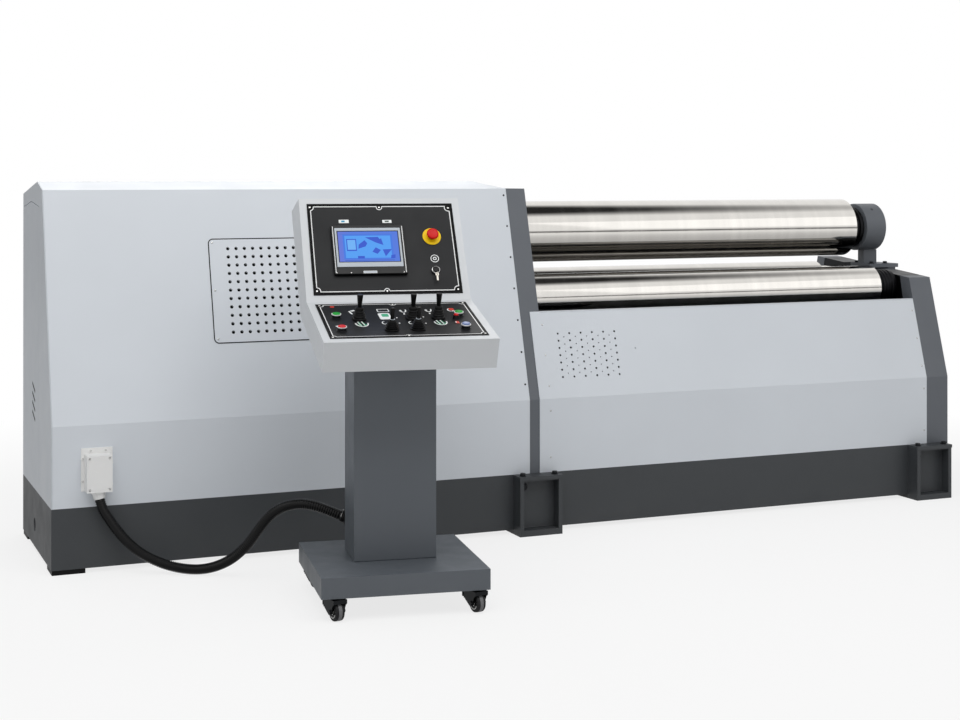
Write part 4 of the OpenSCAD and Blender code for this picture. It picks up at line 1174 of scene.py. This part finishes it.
# ---------------------------------------------------------------- floor, light and world
def pale_floor():
    """A pale floor that keeps shadows, seen white far out, and softly graded in mirrored metal as a
    painted reflection.
    """
    half = 14.0
    mesh = bpy.data.meshes.new("floor")
    mesh.from_pydata([(-half, -half, 0), (half, -half, 0), (half, half, 0), (-half, half, 0)], [],
                     [[0, 1, 2, 3]])
    floor = bpy.data.objects.new("floor", mesh)
    bpy.context.scene.collection.objects.link(floor)
    mat, tree, shader = new_material("floor")
    for label, value in (("Base Color", (0.74, 0.74, 0.74, 1)), ("Roughness", 0.9),
                         ("Specular IOR Level", 0.1)):
        shader.inputs[label].default_value = value
    path = node(tree, "ShaderNodeLightPath").outputs
    where = position(tree)
    # painted reflection: to mirror rays the floor is a glow, dimmer towards the machine along Y and
    # dimmer again after a second bounce
    sheen = mapped(tree, part_of(tree, where, "Y"), -5.5, -0.5, 1.0, 0.52)
    deep = mapped(tree, path["Glossy Depth"], 1.0, 2.0, 1.0, 0.15)
    mirrored = maths(tree, "MULTIPLY", sheen, deep)
    strength = blended_number(tree, path["Is Glossy Ray"], 1.0, mirrored)
    glow = node(tree, "ShaderNodeEmission", [("Color", (1, 1, 1, 1)), ("Strength", strength)])
    far = node(tree, "ShaderNodeVectorMath", [(0, where)], operation="LENGTH").outputs["Value"]
    seen = maths(tree, "MULTIPLY", path["Is Camera Ray"], mapped(tree, far, 2.4, 3.8, 0.78, 1.0))
    share = maths(tree, "MAXIMUM", seen, path["Is Glossy Ray"])
    both = node(tree, "ShaderNodeMixShader",
                [(0, share), (1, shader.outputs[0]), (2, glow.outputs[0])]).outputs[0]
    tree.links.new(both, tree.nodes["Material Output"].inputs["Surface"])
    mesh.materials.append(mat)


# what metal mirrors: height of the direction as a share, 0 straight down, and its brightness
MIRRORED_SURROUND = ((0.0, 1.0), (0.45, 1.0), (0.47, 0.22), (0.505, 0.22), (0.525, 1.0),
                     (0.885, 1.0), (0.94, 0.02))
OVERHEAD = 0.03


def surround():
    """A white world to the camera, softer as light, and for metal one that is dark overhead."""
    world = bpy.data.worlds.new("surround")
    bpy.context.scene.world = world
    world.use_nodes = True
    tree = world.node_tree
    back = tree.nodes["Background"]
    back.inputs["Color"].default_value = (1, 1, 1, 1)
    path = node(tree, "ShaderNodeLightPath").outputs
    up = part_of(tree, node(tree, "ShaderNodeTexCoord").outputs["Generated"], "Z")
    mirrored = node(tree, "ShaderNodeValToRGB", [("Fac", mapped(tree, up, -1.0, 1.0, 0.0, 1.0))])
    ramp = mirrored.color_ramp.elements
    for height, bright in MIRRORED_SURROUND:
        stop = ramp.new(height) if height else ramp[0]
        stop.color = (bright, bright, bright, 1)
    ramp[-1].color = (OVERHEAD, OVERHEAD, OVERHEAD, 1)
    deep = mapped(tree, path["Glossy Depth"], 1.0, 2.0, 1.0, 0.12)
    mirror = maths(tree, "MULTIPLY", mirrored.outputs["Color"], deep)
    by_metal_or_glass = maths(tree, "MAXIMUM", path["Is Glossy Ray"], path["Is Transmission Ray"])
    soft = blended_number(tree, by_metal_or_glass, mapped(tree, up, -0.1, 1.0, 0.44, 0.56), mirror)
    level = blended_number(tree, path["Is Camera Ray"], soft, 1.0)
    tree.links.new(level, back.inputs["Strength"])


LAMPS = (  # name, place, what it points at, width, height, power
    ("key", (-1.2, -3.0, 5.0), (-0.2, 0.2, 0.5), 6.0, 3.6, 150.0),
    ("fill", (4.4, -4.4, 3.2), (0.6, 0.2, 0.6), 3.0, 3.0, 10.0),
    ("back", (-0.5, 3.8, 4.0), (0.0, 0.4, 0.8), 5.0, 2.0, 60.0))


def soft_lamps():
    """Large area lamps, each turned to the point that it lights."""
    for name, spot, aim, width, height, power in LAMPS:
        lamp = bpy.data.lights.new(name, "AREA")
        lamp.shape = "RECTANGLE"
        lamp.size, lamp.size_y, lamp.energy = width, height, power
        obj = bpy.data.objects.new(name, lamp)
        obj.location = spot
        obj.rotation_euler = (Vector(aim) - Vector(spot)).to_track_quat("-Z", "Y").to_euler()
        bpy.context.scene.collection.objects.link(obj)


pale_floor()
surround()
soft_lamps()
bpy.context.scene.view_settings.view_transform = "Standard"
